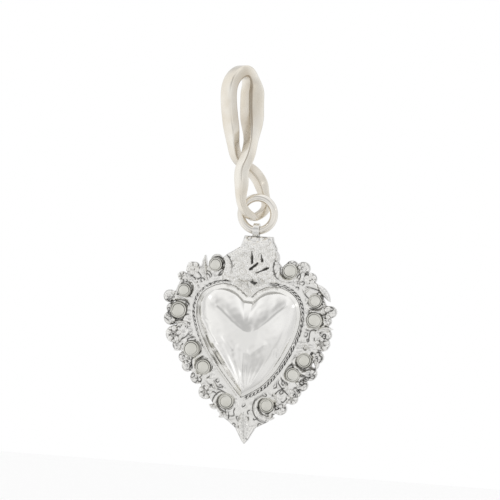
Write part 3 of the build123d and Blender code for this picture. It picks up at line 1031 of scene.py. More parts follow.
    def creased(self, flat: Array) -> Array:
        """The creases' height: each is a bell over the distance from its line.

        Args:
            flat: Places (X, Z) from the middle of the heart's top.
        Returns:
            The crease that is highest, or deepest where it is below zero, at each place.
        """
        total = np.zeros(flat.shape[:-1])
        for height, width, *places in self.creases:
            line = np.array(places).reshape(-1, 2) * MM
            for start, end in zip(line[:-1], line[1:]):
                one = height * MM * bump(beside(flat, start, end)[0], 0, width * MM)
                total = np.where(np.abs(one) > np.abs(total), one, total)
        return total


# The applied ornaments


@dataclass
class Scrolls:
    """Round bosses in open collars: across, down, radius in units, and where the collar opens in degrees.

    The line's start, pitch and widths are shares of the radius.
    """

    line_start: float = 0.62
    line_pitch: float = 0.2
    line_width: float = 0.045
    line_depth: float = 0.07 * MM
    oxide_width: float = 0.034
    edge_height: float = 0.5 * MM
    boss_height: float = 1.06 * MM
    boss_fall: float = 0.12 * MM
    cushion_power: int = 14
    cushion_root: float = 0.6
    columns: int = 84
    rows: int = 40
    places: dict[str, Spec] = field(
        default_factory=lambda: {
            "left_1": (-0.217, 0.147, 1.0, 200), "left_2": (-0.389, 0.281, 0.95, 225),
            "left_3": (-0.416, 0.376, 1.2, 215), "left_4": (-0.326, 0.56, 1.2, 250),
            "left_5": (-0.254, 0.642, 1.12, 245), "left_6": (-0.108, 0.8, 1.1, 70),
            "right_1": (0.212, 0.158, 1.1, 330), "right_2": (0.369, 0.294, 0.98, 120),
            "right_3": (0.369, 0.385, 1.15, 300), "right_4": (0.326, 0.58, 1.05, 100),
            "right_5": (0.266, 0.652, 1.05, 290), "right_6": (0.127, 0.807, 1.05, 60),
        }
    )

    @staticmethod
    def hand(number: int) -> int:
        """Which way the scroll of that number winds: 1 anticlockwise and -1 clockwise, by turns."""
        return 1 if number % 2 else -1

    def shell(self, plan: Plan, spec: Spec, hand: int) -> Shell:
        """One scroll: a low cushion with one fine line cut into it, wound twice about a flat boss.

        The line lies at its start plus its pitch for each turn from the opening. It fades in over the first
        eighth of a turn and out over the last third. The cushion falls with the share squared, and is rounded
        off at its edge by a root of (1 - share to a high power).

        Args:
            plan: The charm's plan.
            spec: The scroll's row in the table.
            hand: 1 to wind anticlockwise, -1 clockwise.
        Returns:
            The closed shell.
        """
        across, down, radius, opening = spec
        middle = plan.at(across, down)
        start = math.radians(opening)

        def cut(share: Array, angle: Array, width: float) -> Array:
            """How near the line each point is.

            Args:
                share: Shares of the radius.
                angle: Angles about the middle.
                width: The line's width, as a share of the radius.
            Returns:
                Values of 0 to 1.
            """
            turned = (hand * (angle - start) / TURN) % 1
            off = share - self.line_start - self.line_pitch * turned
            first, second = bump(off, 0, width), bump(off - self.line_pitch, 0, width)
            return np.maximum(first * smoothstep(turned, 0.0, 0.12), second * fade(turned, 0.62, 0.95))

        def rise(share: Array, angle: Array) -> Array:
            """Height from the share of the radius and the angle."""
            over_edge = self.boss_height - self.boss_fall * share**2 - self.edge_height
            cushion = self.edge_height + over_edge * (1 - share**self.cushion_power) ** self.cushion_root
            return cushion - self.line_depth * cut(share, angle, self.line_width)

        def recess(share: Array, angle: Array) -> Array:
            """Oxide in the line, stronger on one side, and thinly at the edge of the other."""
            strength = 0.92 + 0.46 * np.cos(angle - start + 2.2)
            edge = bump(share, 0.985, 0.03) * np.clip(0.2 + np.cos(angle - start - 2.4), 0, 1)
            return np.clip(cut(share, angle, self.oxide_width) * strength + 0.6 * edge, 0, 1)

        rim = circle(middle, radius * plan.unit, self.columns)
        return plan.mound(rim, middle, rise, recess, rows=self.rows)


@dataclass
class Flowers:
    """Rosettes and berry clusters: across, down, radius in units, and the turn of the first lobe in degrees.

    Heights and depths over the floor are shares of the radius.
    """

    floor_height: float = 0.3 * MM
    lobes: int = 5
    columns: int = 90
    rows: int = 26
    petal_height: float = 0.42
    eye_height: float = 0.3
    pit_depth: float = 0.16
    outline_shares: tuple[float, float, float] = (0.83, 0.15, -0.03)
    ball_ring: float = 0.62
    ball_radius: float = 0.355
    middle_ball_radius: float = 0.26
    rosettes: dict[str, Spec] = field(
        default_factory=lambda: {
            "left_1": (-0.411, 0.213, 0.68, 20), "left_2": (-0.333, 0.244, 0.7, 60),
            "left_3": (-0.457, 0.313, 0.75, 10), "left_4": (-0.436, 0.495, 1.28, 90),
            "left_5": (-0.353, 0.636, 0.68, 30), "left_6": (-0.233, 0.763, 1.08, 75),
            "right_1": (0.281, 0.14, 0.55, 40), "right_2": (0.266, 0.209, 0.72, 50),
            "right_3": (0.419, 0.496, 1.1, 90), "right_4": (0.267, 0.769, 0.82, 15),
        }
    )
    clusters: dict[str, Spec] = field(
        default_factory=lambda: {"left": (-0.35, 0.174, 1.0, 54), "right": (0.331, 0.188, 0.85, 18)}
    )

    def rosette(self, plan: Plan, spec: Spec) -> Shell:
        """One rosette: five petals about an eye.

        The outline's radius is a sum of three shares of the whole: an even one, one times the cosine of five
        times the angle, and one times its square. A petal is high along its middle and falls to a groove
        beside it, and the eye is a small ring with a pit.

        Args:
            plan: The charm's plan.
            spec: The rosette's row in the table.
        Returns:
            The closed shell.
        """
        across, down, radius, turn = spec
        middle, size, start = plan.at(across, down), radius * plan.unit, math.radians(turn)
        wave = np.cos(self.lobes * (np.arange(self.columns) / self.columns * TURN - start))
        even, first, second = self.outline_shares
        rim = circle(middle, size * (even + first * wave + second * wave**2), self.columns)

        def lobe(angle: Array) -> Array:
            """How near an angle is to a petal's middle, 0 to 1."""
            return 0.5 + 0.5 * np.cos(self.lobes * (angle - start))

        def rise(share: Array, angle: Array) -> Array:
            """The rosette's height.

            Args:
                share: Shares of the way out.
                angle: Angles about the middle.
            Returns:
                The height at each.
            """
            full = 0.45 + 0.55 * lobe(angle) ** 0.6 * smoothstep(share, 0.12, 0.5)
            petal = self.petal_height * (1 - share**4) ** 0.5 * full
            eye = self.eye_height * bump(share, 0.2, 0.07) - self.pit_depth * bump(share, 0, 0.1)
            return self.floor_height + size * (petal + eye)

        def recess(share: Array, angle: Array) -> Array:
            """Oxide in the eye's pit, round the eye and in the grooves."""
            groove = (1 - lobe(angle)) ** 5 * smoothstep(share, 0.35, 0.6)
            groove = groove * (1 - 0.5 * smoothstep(share, 0.85, 1))
            return np.clip(0.63 * bump(share, 0.33, 0.05) + bump(share, 0, 0.09) + 0.85 * groove, 0, 1)

        return plan.mound(rim, middle, rise, recess, rows=self.rows)

    def cluster(self, plan: Plan, spec: Spec) -> Shell:
        """One cluster: five balls in a ring round a smaller one, each a low mound with a round top.

        Args:
            plan: The charm's plan.
            spec: The cluster's row in the table.
        Returns:
            All the balls.
        """
        across, down, radius, turn = spec
        middle, size = plan.at(across, down), radius * plan.unit
        turns = math.radians(turn) + np.arange(self.lobes) / self.lobes * TURN
        spots = middle + self.ball_ring * size * np.stack([np.cos(turns), np.sin(turns)], -1)
        balls = [ball(plan, spot, self.ball_radius * size, self.floor_height) for spot in spots]
        return Shell.joined(balls + [ball(plan, middle, self.middle_ball_radius * size, self.floor_height)])


def ball(plan: Plan, middle: Array, radius: float, stub: float, columns: int = 28, rows: int = 12) -> Shell:
    """A ball on a stub: the height is the stub plus the radius times the root of (1 - share squared).

    Args:
        plan: The charm's plan.
        middle: Where it stands (X, Z).
        radius: Its radius.
        stub: How high the stub is.
        columns: How many points a ring has.
        rows: How many rings there are.
    Returns:
        The closed shell.
    """
    return plan.mound(
        circle(middle, radius, columns),
        middle,
        lambda share, angle: stub + radius * np.sqrt(np.clip(1 - share**2, 0, 1)),
        lambda share, angle: 0.8 * smoothstep(share, 0.9, 1.0),
        rows=rows,
        power=1.7,
    )


@dataclass
class Balls:
    """Single balls on the border: across, down, radius in units."""

    floor_height: float = 0.3 * MM
    places: dict[str, Spec] = field(
        default_factory=lambda: {
            "upper": (0.44, 0.33, 0.52), "middle": (0.443, 0.363, 0.38), "lower": (0.348, 0.64, 0.58),
        }
    )

    def shell(self, plan: Plan) -> Shell:
        """All of them, as one mesh."""
        rounds = [(plan.at(*place), radius * plan.unit) for *place, radius in self.places.values()]
        return Shell.joined([ball(plan, middle, radius, self.floor_height) for middle, radius in rounds])


@dataclass
class Leaves:
    """Pointed leaves and crown tongues: root and tip, width in units, and bow as a share of the length."""

    leaf_height: float = 0.8 * MM
    tongue_height: float = 1.15 * MM
    rows: int = 40
    columns: int = 22
    groove_share: float = 0.1
    groove_width: float = 0.16
    uneven_length: float = 0.7 * MM
    seed: int = 3
    leaves: dict[str, Spec] = field(
        default_factory=lambda: {
            "leaf_left_1": (-0.262, 0.235, -0.284, 0.105, 0.85, 0.08),
            "leaf_left_2": (-0.34, 0.455, -0.44, 0.438, 0.85, -0.1),
            "leaf_left_3": (-0.388, 0.54, -0.432, 0.573, 0.7, 0.1),
            "leaf_left_4": (-0.192, 0.703, -0.155, 0.757, 0.7, -0.1),
            "leaf_left_5": (-0.15, 0.83, -0.21, 0.822, 0.75, 0.1),
            "leaf_left_6": (-0.11, 0.85, -0.15, 0.88, 0.7, 0.1),
            "leaf_right_1": (0.298, 0.262, 0.34, 0.229, 0.7, 0.08),
            "leaf_right_2": (0.375, 0.214, 0.45, 0.293, 0.85, 0.03),
            "leaf_right_3": (0.375, 0.446, 0.475, 0.425, 0.85, 0.12),
            "leaf_right_4": (0.365, 0.518, 0.3, 0.5, 0.8, 0.1),
            "leaf_right_5": (0.376, 0.55, 0.395, 0.622, 0.7, 0.1),
            "leaf_right_6": (0.215, 0.696, 0.24, 0.74, 0.8, 0.1),
            "leaf_right_7": (0.155, 0.742, 0.203, 0.809, 0.7, 0.05),
            "leaf_right_8": (0.1, 0.855, 0.172, 0.866, 0.75, -0.1),
            "leaf_tip": (-0.01, 0.84, 0.006, 0.99, 1.9, 0.02),
        }
    )
    tongues: dict[str, Spec] = field(
        default_factory=lambda: {
            "tongue_centre": (0.018, 0.128, 0.02, 0.045, 0.62, 0.0),
            "tongue_left": (-0.034, 0.143, -0.03, 0.018, 1.15, 0.12),
            "tongue_right": (0.07, 0.132, 0.064, 0.012, 1.15, -0.14),
            "tongue_outer_left": (-0.102, 0.145, -0.09, 0.058, 1.0, 0.12),
            "tongue_outer_right": (0.124, 0.14, 0.112, 0.058, 0.7, -0.12),
            "ribbon_upper": (-0.006, 0.191, 0.072, 0.141, 0.55, 0.08),
            "ribbon_lower": (0.038, 0.207, 0.138, 0.16, 0.6, 0.08),
            "collar_leaf_left": (-0.016, 0.25, -0.13, 0.214, 0.72, -0.08),
            "collar_leaf_right": (0.0, 0.25, 0.115, 0.214, 0.72, 0.08),
        }
    )

    def shell(self, plan: Plan, spec: Spec, height: float) -> Shell:
        """One leaf: a bowed midrib, a width that follows a sine along it, and a groove down the middle.

        Across is t, from -1 to 1, and along is s, from 0 to 1. The half width is half the width times a power
        of a sine of s. The height is the full height, times an arch along s, times a root of (1 - |t| cubed)
        less the groove and a random unevenness.

        Args:
            plan: The charm's plan.
            spec: The leaf's row in the tables.
            height: The full height.
        Returns:
            The closed leaf.
        """
        *ends, width, bow = spec
        root, tip = plan.at(*ends[:2]), plan.at(*ends[2:])
        along = tip - root
        side = np.array([-along[1], along[0]])
        run = np.linspace(0, 1, self.rows)[:, None, None]
        over = np.linspace(-1, 1, self.columns)[None, :, None]
        spine = root + along * run + side * bow * 4 * run * (1 - run)
        half = width * plan.unit / 2 * np.sin(math.pi * np.clip(run, 0.004, 0.996) ** 0.88) ** 0.75
        flat = spine + over * half * side / np.linalg.norm(side)
        s, t = run[..., 0], over[..., 0]
        arch = 0.35 + 0.65 * np.sin(math.pi * s**0.8) ** 0.6
        groove = bump(t, 0, self.groove_width) * smoothstep(s, 0.05, 0.3) * fade(s, 0.75, 0.98)
        uneven = waves(flat.reshape(-1, 2), np.random.default_rng(self.seed), self.uneven_length)
        uneven = uneven.reshape(self.rows, self.columns)
        lower = self.groove_share * (groove + 1 - uneven)
        lift = height * arch * np.clip((1 - np.abs(t) ** 3) ** 0.6 - lower, 0.02, 1)
        base = np.full(lift.shape, -SINK)
        rings = np.concatenate([plan.lift(flat, lift), plan.lift(flat, base)[:, ::-1]], 1)
        depth = np.concatenate([0.25 * groove + 0.5 * bump(uneven, 0.5, 0.12), np.zeros(lift.shape)], 1)
        return tube(rings, closed=False, recess=depth)


@dataclass
class Fronds:
    """Low lobed grounds at the crown's sides, heaped with small grains."""

    height: float = 0.65 * MM
    grain_radius: float = 0.27 * MM
    grain_step: float = 1.45
    grain_inset: float = 0.13 * MM
    grain_sizes: tuple[float, float] = (0.75, 1.15)
    grain_stub_share: float = 0.85
    grain_columns: int = 14
    grain_rows: int = 6
    rim_points: int = 60
    rows: int = 10
    seed: int = 7
    outlines: dict[str, Route] = field(
        default_factory=lambda: {
            "frond_left": (
                (-0.1, 0.154), (-0.15, 0.12), (-0.172, 0.135), (-0.168, 0.195),
                (-0.1, 0.199), (-0.045, 0.197), (-0.028, 0.175), (-0.04, 0.154),
            ),
            "frond_right": ((0.128, 0.178), (0.155, 0.168), (0.158, 0.196), (0.118, 0.202), (0.085, 0.205)),
        }
    )

    def shell(self, plan: Plan, name: str) -> Shell:
        """A low mound with grains on a shaken grid, wherever the grid falls inside the outline.

        Args:
            plan: The charm's plan.
            name: The frond's name.
        Returns:
            The ground and its grains.
        """
        corners = np.array([plan.at(*place) for place in self.outlines[name]])
        rim = looped(corners, self.rim_points)

        def rise(share: Array, angle: Array) -> Array:
            """Height from the share of the way to the rim."""
            return self.height * (0.75 + 0.25 * np.sqrt(1 - share**3))

        ground = plan.mound(rim, corners.mean(0), rise, rows=self.rows)
        draw = np.random.default_rng(self.seed)
        step = self.grain_radius * self.grain_step
        spots = shaken_grid(corners.min(0), corners.max(0), step, 0.9, 0.16, draw).reshape(-1, 2)
        spots = spots[crowding(spots, rim) > self.grain_inset]
        sizes = draw.uniform(*self.grain_sizes, len(spots)) * self.grain_radius
        stub, steps = self.height * self.grain_stub_share, (self.grain_columns, self.grain_rows)
        grains = [ball(plan, spot, size, stub, *steps) for spot, size in zip(spots, sizes)]
        return Shell.joined([ground] + grains)


def crowding(spots: Array, rim: Array) -> Array:
    """How far each spot lies inside an outline: the distance to its points, less than zero outside.

    A spot is inside where a ray from it to the right crosses the outline an odd number of times. The spots
    are taken a few thousand at a time, to spare memory.

    Args:
        spots: Places (X, Z).
        rim: The outline's points, close together.
    Returns:
        One distance a spot.
    """
    start, end = rim, np.roll(rim, -1, 0)
    fall = np.where(end[:, 1] == start[:, 1], 1, end[:, 1] - start[:, 1])
    lean = (end[:, 0] - start[:, 0]) / fall

    def share_of(some: Array) -> Array:
        """The distances of some of the spots.

        Args:
            some: The spots (X, Z).
        Returns:
            One distance a spot.
        """
        squares = (some**2).sum(-1)[:, None] + (rim**2).sum(-1)[None] - 2 * some @ rim.T
        reach = np.sqrt(np.clip(squares.min(1), 0, None))
        rises = (start[:, 1] > some[:, None, 1]) != (end[:, 1] > some[:, None, 1])
        crossing = start[:, 0] + (some[:, None, 1] - start[:, 1]) * lean
        odd = (rises & (some[:, None, 0] < crossing)).sum(1) % 2 == 1
        return np.where(odd, reach, -reach)

    return np.concatenate([share_of(some) for some in np.array_split(spots, 1 + len(spots) // 5000)])


@dataclass
class Ground:
    """The chased ground between the ornaments: a low cushion with scroll arms, grains and fine cut lines.

    The outline runs through the rows of crown_left, the ornaments named in left, the rows of tip, the
    ornaments named in right and the rows of crown_right. A row of lobes is across, down and a radius in
    units. A row of pits is a gap's start and end, across and down, and its width at each in millimetres.
    """

    step: float = 0.08 * MM
    line_width: float = 0.07 * MM
    seam_place: float = 0.11 * MM
    base: float = 0.45 * MM
    arm_height: float = 0.2 * MM
    arm_width: float = 0.17 * MM
    arm_start: float = 1.02
    arm_pitch: float = 0.26
    arm_spread: float = 0.35
    arm_rise: tuple[float, float] = (0.15, 0.6)
    arm_fall: tuple[float, float] = (2.6, 3.7)
    grain_radius: float = 0.4 * MM
    grain_height: float = 0.34 * MM
    grain_step: float = 1.5
    grain_shake: float = 0.45
    cut_depth: float = 0.2 * MM
    crown_height: float = 0.55 * MM
    swirl_lengths: tuple[float, float, float, float] = (6 * MM, 2.6 * MM, 1.4 * MM, 4 * MM)
    lobe_height: float = 0.3 * MM
    margin: float = 1.2 * MM
    outline_points: int = 360
    least_height: float = 0.015 * MM
    swell: float = 0.03 * MM
    calm_reach: tuple[float, float] = (0.45 * MM, 0.9 * MM)
    dark_reach: tuple[float, float] = (0.3 * MM, 0.5 * MM)
    edge_reach: tuple[float, float] = (-0.05 * MM, 0.3 * MM)
    collar_tuck: float = 0.12 * MM
    lobe_tuck: float = 0.02 * MM
    seed: int = 11
    crown_left: Route = (
        (-0.064, 0.0), (-0.073, 0.03), (-0.085, 0.055), (-0.12, 0.074), (-0.16, 0.095), (-0.187, 0.116),
    )
    left: tuple[str, ...] = (
        "scroll_left_1", "cluster_left", "rosette_left_1", "rosette_left_3",
        "scroll_left_3", "rosette_left_4", "rosette_left_5", "rosette_left_6",
    )
    tip: Route = (
        (-0.137, 0.872), (-0.089, 0.898), (-0.05, 0.925), (-0.03, 0.955), (-0.012, 0.982), (0.006, 1.0),
        (0.028, 0.978), (0.045, 0.95), (0.065, 0.92), (0.133, 0.888), (0.16, 0.858),
    )
    right: tuple[str, ...] = (
        "rosette_right_4", "lower", "rosette_right_3", "middle", "upper", "leaf_right_2", "cluster_right",
        "rosette_right_1",
    )
    crown_right: Route = (
        (0.16, 0.14), (0.142, 0.12), (0.13, 0.085), (0.124, 0.05), (0.105, 0.022), (0.1, 0.0),
    )
    lobes: tuple[Spec, ...] = (
        (-0.477, 0.314, 0.89), (-0.458, 0.371, 0.82), (-0.463, 0.419, 0.99), (-0.41, 0.546, 0.82),
        (-0.368, 0.602, 0.86), (-0.348, 0.644, 0.82), (-0.289, 0.694, 0.96), (0.455, 0.342, 0.85),
        (0.433, 0.387, 0.76), (0.436, 0.452, 0.82), (0.395, 0.562, 0.89), (0.357, 0.641, 1.03),
        (0.315, 0.699, 0.89), (0.28, 0.736, 0.82), (0.203, 0.82, 0.86), (0.22, 0.138, 0.91),
        (0.285, 0.141, 0.91), (-0.216, 0.127, 0.85),
    )
    pits: tuple[Spec, ...] = (
        (-0.0101, 0.0743, -0.0048, 0.1279, 0.05, 0.17), (0.0456, 0.0892, 0.0519, 0.1192, 0.05, 0.12),
        (0.0272, 0.1292, -0.0139, 0.1616, 0.07, 0.14), (0.0902, 0.1499, 0.0655, 0.1604, 0.12, 0.1),
        (0.0655, 0.1604, 0.0198, 0.1777, 0.08, 0.05), (-0.0024, 0.2217, 0.0244, 0.2299, 0.16, 0.16),
        (-0.0909, 0.8521, -0.0888, 0.8809, 0.06, 0.09), (-0.0291, 0.9018, -0.0277, 0.921, 0.05, 0.08),
        (-0.1563, 0.2201, -0.1386, 0.224, 0.08, 0.05),
    )

    def edge(self, plan: Plan, placed: dict[str, Spec]) -> Array:
        """The plate's outline through the outermost ornaments, as close points (X, Z).

        Args:
            plan: The charm's plan.
            placed: Every ornament's place by name.
        Returns:
            Points, evenly many on each side.
        """
        left, right = ([placed[name][:2] for name in names] for names in (self.left, self.right))
        shares = (*self.crown_left, *left, *self.tip, *right, *self.crown_right)
        return looped(np.array([plan.at(*share) for share in shares]), self.outline_points)

    def arms(self, plan: Plan, spots: Array, scrolls: Scrolls) -> tuple[Array, Array]:
        """Bands that leave the scrolls' collars and wind outwards, with a cut line along each edge.

        About a scroll, an arm's middle lies at the radius times (its start + its pitch times the turned
        angle), and its height is a bell over the distance from that middle, whose width grows with the angle.
        An arm lies over the lines of the ones before it.

        Args:
            plan: The charm's plan.
            spots: Places (X, Z).
            scrolls: The scrolls.
        Returns:
            Each spot's height share, and its cut share.
        """
        ridge, cut = np.zeros(len(spots)), np.zeros(len(spots))
        for number, (across, down, radius, opening) in enumerate(scrolls.places.values()):
            reach, angle = polar(spots, plan.at(across, down))
            turned = (scrolls.hand(number) * (angle - math.radians(opening)) - 0.5) % TURN
            width = self.arm_width * (1 + self.arm_spread * turned)
            gate = smoothstep(turned, *self.arm_rise) * fade(turned, *self.arm_fall)
            off = np.abs(reach - radius * plan.unit * (self.arm_start + self.arm_pitch * turned)) / width
            band = bump(off, 0, 1) * gate
            line = bump((off - 1.5) * width, 0, self.line_width) * gate
            cut = np.maximum(cut * (1 - band), line)
            ridge = np.maximum(ridge, band)
        return ridge, cut

    def grains(self, spots: Array, draw: np.random.Generator) -> Array:
        """Round grains from random middles: each is 1 less the square of the distance over its radius.

        The middles stand on a shaken grid, so a spot's nearest one is among the five by five about its own
        cell.

        Args:
            spots: Places (X, Z).
            draw: Random numbers.
        Returns:
            The grains' height at each spot, 0 to 1.
        """
        low, pitch = spots.min(0), self.grain_step * self.grain_radius
        middles = shaken_grid(low, spots.max(0), pitch, 1, self.grain_shake, draw)
        home = ((spots - low) / pitch).astype(int)
        nearest = np.full(len(spots), np.inf)
        for down, along in np.ndindex(5, 5):
            row = np.clip(home[:, 1] + down - 2, 0, middles.shape[0] - 1)
            column = np.clip(home[:, 0] + along - 2, 0, middles.shape[1] - 1)
            nearest = np.minimum(nearest, ((spots - middles[row, column]) ** 2).sum(-1))
        return np.clip(1 - nearest / self.grain_radius**2, 0, 1)

    def collars(
        self, plan: Plan, spots: Array, rounds: dict[str, Spec], draw: np.random.Generator
    ) -> tuple[Array, Array]:
        """What the round ornaments do to the ground: it reaches out under them, with a dark line beside each.

        The line is a bell over the distance beyond the ornament's edge, strong on a random side only.

        Args:
            plan: The charm's plan.
            spots: Places (X, Z).
            rounds: The round ornaments.
            draw: Random numbers.
        Returns:
            How far each spot is inside an ornament, and the lines' strength there.
        """
        inside, trench = np.full(len(spots), -np.inf), np.zeros(len(spots))
        for across, down, radius, *_ in rounds.values():
            reach, angle = polar(spots, plan.at(across, down))
            beyond = reach - radius * plan.unit
            inside = np.maximum(inside, -beyond - self.collar_tuck)
            facing = np.clip(0.15 + 0.85 * np.cos(angle - draw.uniform(0, TURN)), 0, 1)
            trench = np.maximum(trench, 0.6 * bump(beyond, 0.05 * MM, 0.7 * self.line_width) * facing)
        return inside, trench

    def heaps(self, plan: Plan, spots: Array, draw: np.random.Generator) -> tuple[Array, Array, Array]:
        """Small flowers on the lobes of the plate's edge, each of five petals about an eye.

        A petal reaches out by half, plus half the size of the cosine of two and a half times the angle. Its
        height is the root of (1 - the square of the distance over that reach).

        Args:
            plan: The charm's plan.
            spots: Places (X, Z).
            draw: Random numbers.
        Returns:
            How far each spot is inside a lobe, the flowers' height there, and their lines' strength.
        """
        inside, heap, trench = np.full(len(spots), -np.inf), np.zeros(len(spots)), np.zeros(len(spots))
        for across, down, radius in self.lobes:
            size = radius * plan.unit
            reach, angle = polar(spots, plan.at(across, down))
            reach, angle = reach / size, angle - draw.uniform(0, TURN)
            inside = np.maximum(inside, (1 - reach) * size - self.lobe_tuck)
            petal = 0.5 + 0.5 * np.abs(np.cos(2.5 * angle))
            heap = np.maximum(heap, np.clip(1 - (reach / petal) ** 2, 0, 1) ** 0.5)
            gap = bump(reach - 0.9 * petal, 0, 0.09) * (reach < 0.95)
            line = np.maximum(gap, bump(reach, 0.2, 0.07)) * np.clip(0.75 + 0.6 * np.cos(angle), 0, 1.2)
            trench = np.maximum(trench, line)
        return inside, heap, trench

    def crown_share(self, plan: Plan, spots: Array) -> tuple[Array, Array]:
        """How far each spot belongs to the crown, and to the heart's cleft below it.

        Args:
            plan: The charm's plan.
            spots: Places (X, Z).
        Returns:
            Both shares of each spot, 0 to 1.
        """
        down = (plan.at(0, 0)[1] - spots[:, 1]) / plan.height
        aside = np.abs(spots[:, 0] - plan.ring_x) / plan.width
        crown = fade(down, 0.19, 0.24) * smoothstep(down, 0.0, 0.03) * fade(aside, 0.15, 0.19)
        return crown, fade(down, 0.28, 0.31) * fade(aside, 0.08, 0.13) * (down > 0)

    def chased(self, spots: Array, shape: tuple[int, int], draw: np.random.Generator) -> Array:
        """Fine cut lines and small curls: contours of random fields, kept where another field is high.

        Args:
            spots: The grid's places (X, Z), row by row.
            shape: The grid's rows and columns.
            draw: Random numbers.
        Returns:
            The lines' strength at each spot, 0 to 1.
        """
        patchy, line, curl, kept = (waves(spots, draw, length) for length in self.swirl_lengths)
        lines = self.contour(line.reshape(shape), 0.1) * smoothstep(patchy, -0.3, 0.5)
        return np.maximum(lines, self.contour(curl.reshape(shape), 0.85) * (kept > -0.3))

    def shell(self, plan: Plan, charm: "Charm") -> Shell:
        """The relief on a square grid, which reaches under the heart's wire and ends at the plate's edge.

        The height is the base, plus the crown, the arms, the flowers, the grains and a faint swell, less the
        cuts. It is halved in the pits, and falls off towards the edge.

        Args:
            plan: The charm's plan.
            charm: The charm, for what stands on the ground.
        Returns:
            A closed slab: the relief on top, flat below, with walls along its edges.
        """
        draw = np.random.default_rng(self.seed)
        rounds = charm.rounds()
        edge = self.edge(plan, rounds | charm.leaves.leaves)
        low, high = edge.min(0) - self.margin, edge.max(0) + self.margin
        columns, rows = np.ceil((high - low) / self.step).astype(int)
        x, z = np.meshgrid(low[0] + np.arange(columns) * self.step, low[1] + np.arange(rows) * self.step)
        spots, shape = np.stack([x.ravel(), z.ravel()], -1), (rows, columns)
        heart = -crowding(spots, charm.heart.outline(plan, 0)[::2])
        ridge, cut = self.arms(plan, spots, charm.scrolls)
        inside, trench = self.collars(plan, spots, rounds, draw)
        inside_lobe, heap, lobe_trench = self.heaps(plan, spots, draw)
        border = np.maximum(crowding(spots, edge), np.maximum(inside, inside_lobe))
        trench = np.maximum(trench, lobe_trench)
        crown, cleft = self.crown_share(plan, spots)
        grainy = np.clip(np.maximum(crown, cleft) + 0.35 * (waves(spots, draw, 5 * MM) > 0.4), 0, 1)
        grains = self.grains(spots, draw) * grainy
        calm = smoothstep(heart, *self.calm_reach)
        chased = self.chased(spots, shape, draw) * (1 - crown) * (1 - ridge)
        cut = np.clip(np.maximum(cut, chased) * calm + 0.8 * trench, 0, 1)
        pit = self.pitted(plan, spots)
        swell = self.swell * waves(spots, draw, 1.6 * MM) * calm
        below_crown = (self.arm_height * ridge * calm + self.lobe_height * heap) * (1 - crown)
        height = self.base + self.crown_height * crown + below_crown + self.grain_height * grains + swell
        height = (height - self.cut_depth * np.maximum(cut, 0.6 * trench)) * (1 - 0.5 * pit)
        height = np.maximum(height * smoothstep(border, *self.edge_reach), self.least_height)
        recess = np.maximum(0.95 * cut * smoothstep(heart, *self.dark_reach), pit)
        recess = np.maximum(recess, self.seam(plan, charm.heart, spots, heart, draw))
        under = -charm.heart.rope_wire / 2 - 1.5 * charm.heart.trim_gap
        return self.slab(plan, spots, height, recess, ((border > 0) & (heart > under)).reshape(shape))

    def contour(self, field_values: Array, level: float) -> Array:
        """A line of even width where a field crosses a level: a bell over the difference by the slope.

        Args:
            field_values: The field on the grid.
            level: The level.
        Returns:
            The line's strength at each spot, 0 to 1.
        """
        slope = np.hypot(*np.gradient(field_values, self.step))
        off = (field_values - level) / np.maximum(slope, 0.4 * slope.mean())
        return bump(off, 0, self.line_width).ravel()

    def seam(self, plan: Plan, heart: Heart, spots: Array, away: Array, draw: np.random.Generator) -> Array:
        """The dark seam beside the wire: a thin uneven line, which ends low on the left and at the cleft.

        Args:
            plan: The charm's plan.
            heart: The heart.
            spots: Places (X, Z).
            away: Each spot's distance from the wire's line.
            draw: Random numbers.
        Returns:
            The seam's strength at each spot, 0 to 1.
        """
        top, half_width, height = heart.datum(plan)
        across, down = (spots[:, 0] - top[0]) / half_width, (top[1] - spots[:, 1]) / height
        kept = np.clip(smoothstep(np.abs(across), 0.3, 0.42) + smoothstep(down, 0.3, 0.4), 0, 1)
        kept = kept * (1 - smoothstep(down, 0.56, 0.64) * (across < 0))
        uneven = 1.1 + 0.7 * waves(spots, draw, 1.1 * MM)
        shaken = self.seam_place - 0.04 * MM * waves(spots, draw, 0.8 * MM)
        near = bump(np.where(across < 0, away, np.abs(away)), shaken, self.line_width)
        return np.clip(1.2 * near * uneven, 0, 1) * kept

    def pitted(self, plan: Plan, spots: Array) -> Array:
        """Dark gaps that taper: each fades out over its width, which runs straight between its two ends.

        Args:
            plan: The charm's plan.
            spots: Places (X, Z).
        Returns:
            How far each spot is inside a gap, 0 to 1.
        """
        inside = np.zeros(len(spots))
        for *ends, narrow, wide in self.pits:
            away, run = beside(spots, plan.at(*ends[:2]), plan.at(*ends[2:]))
            width = (narrow + (wide - narrow) * run) * MM
            inside = np.maximum(inside, 0.85 * fade(away, 0.4 * width, 1.4 * width))
        return inside

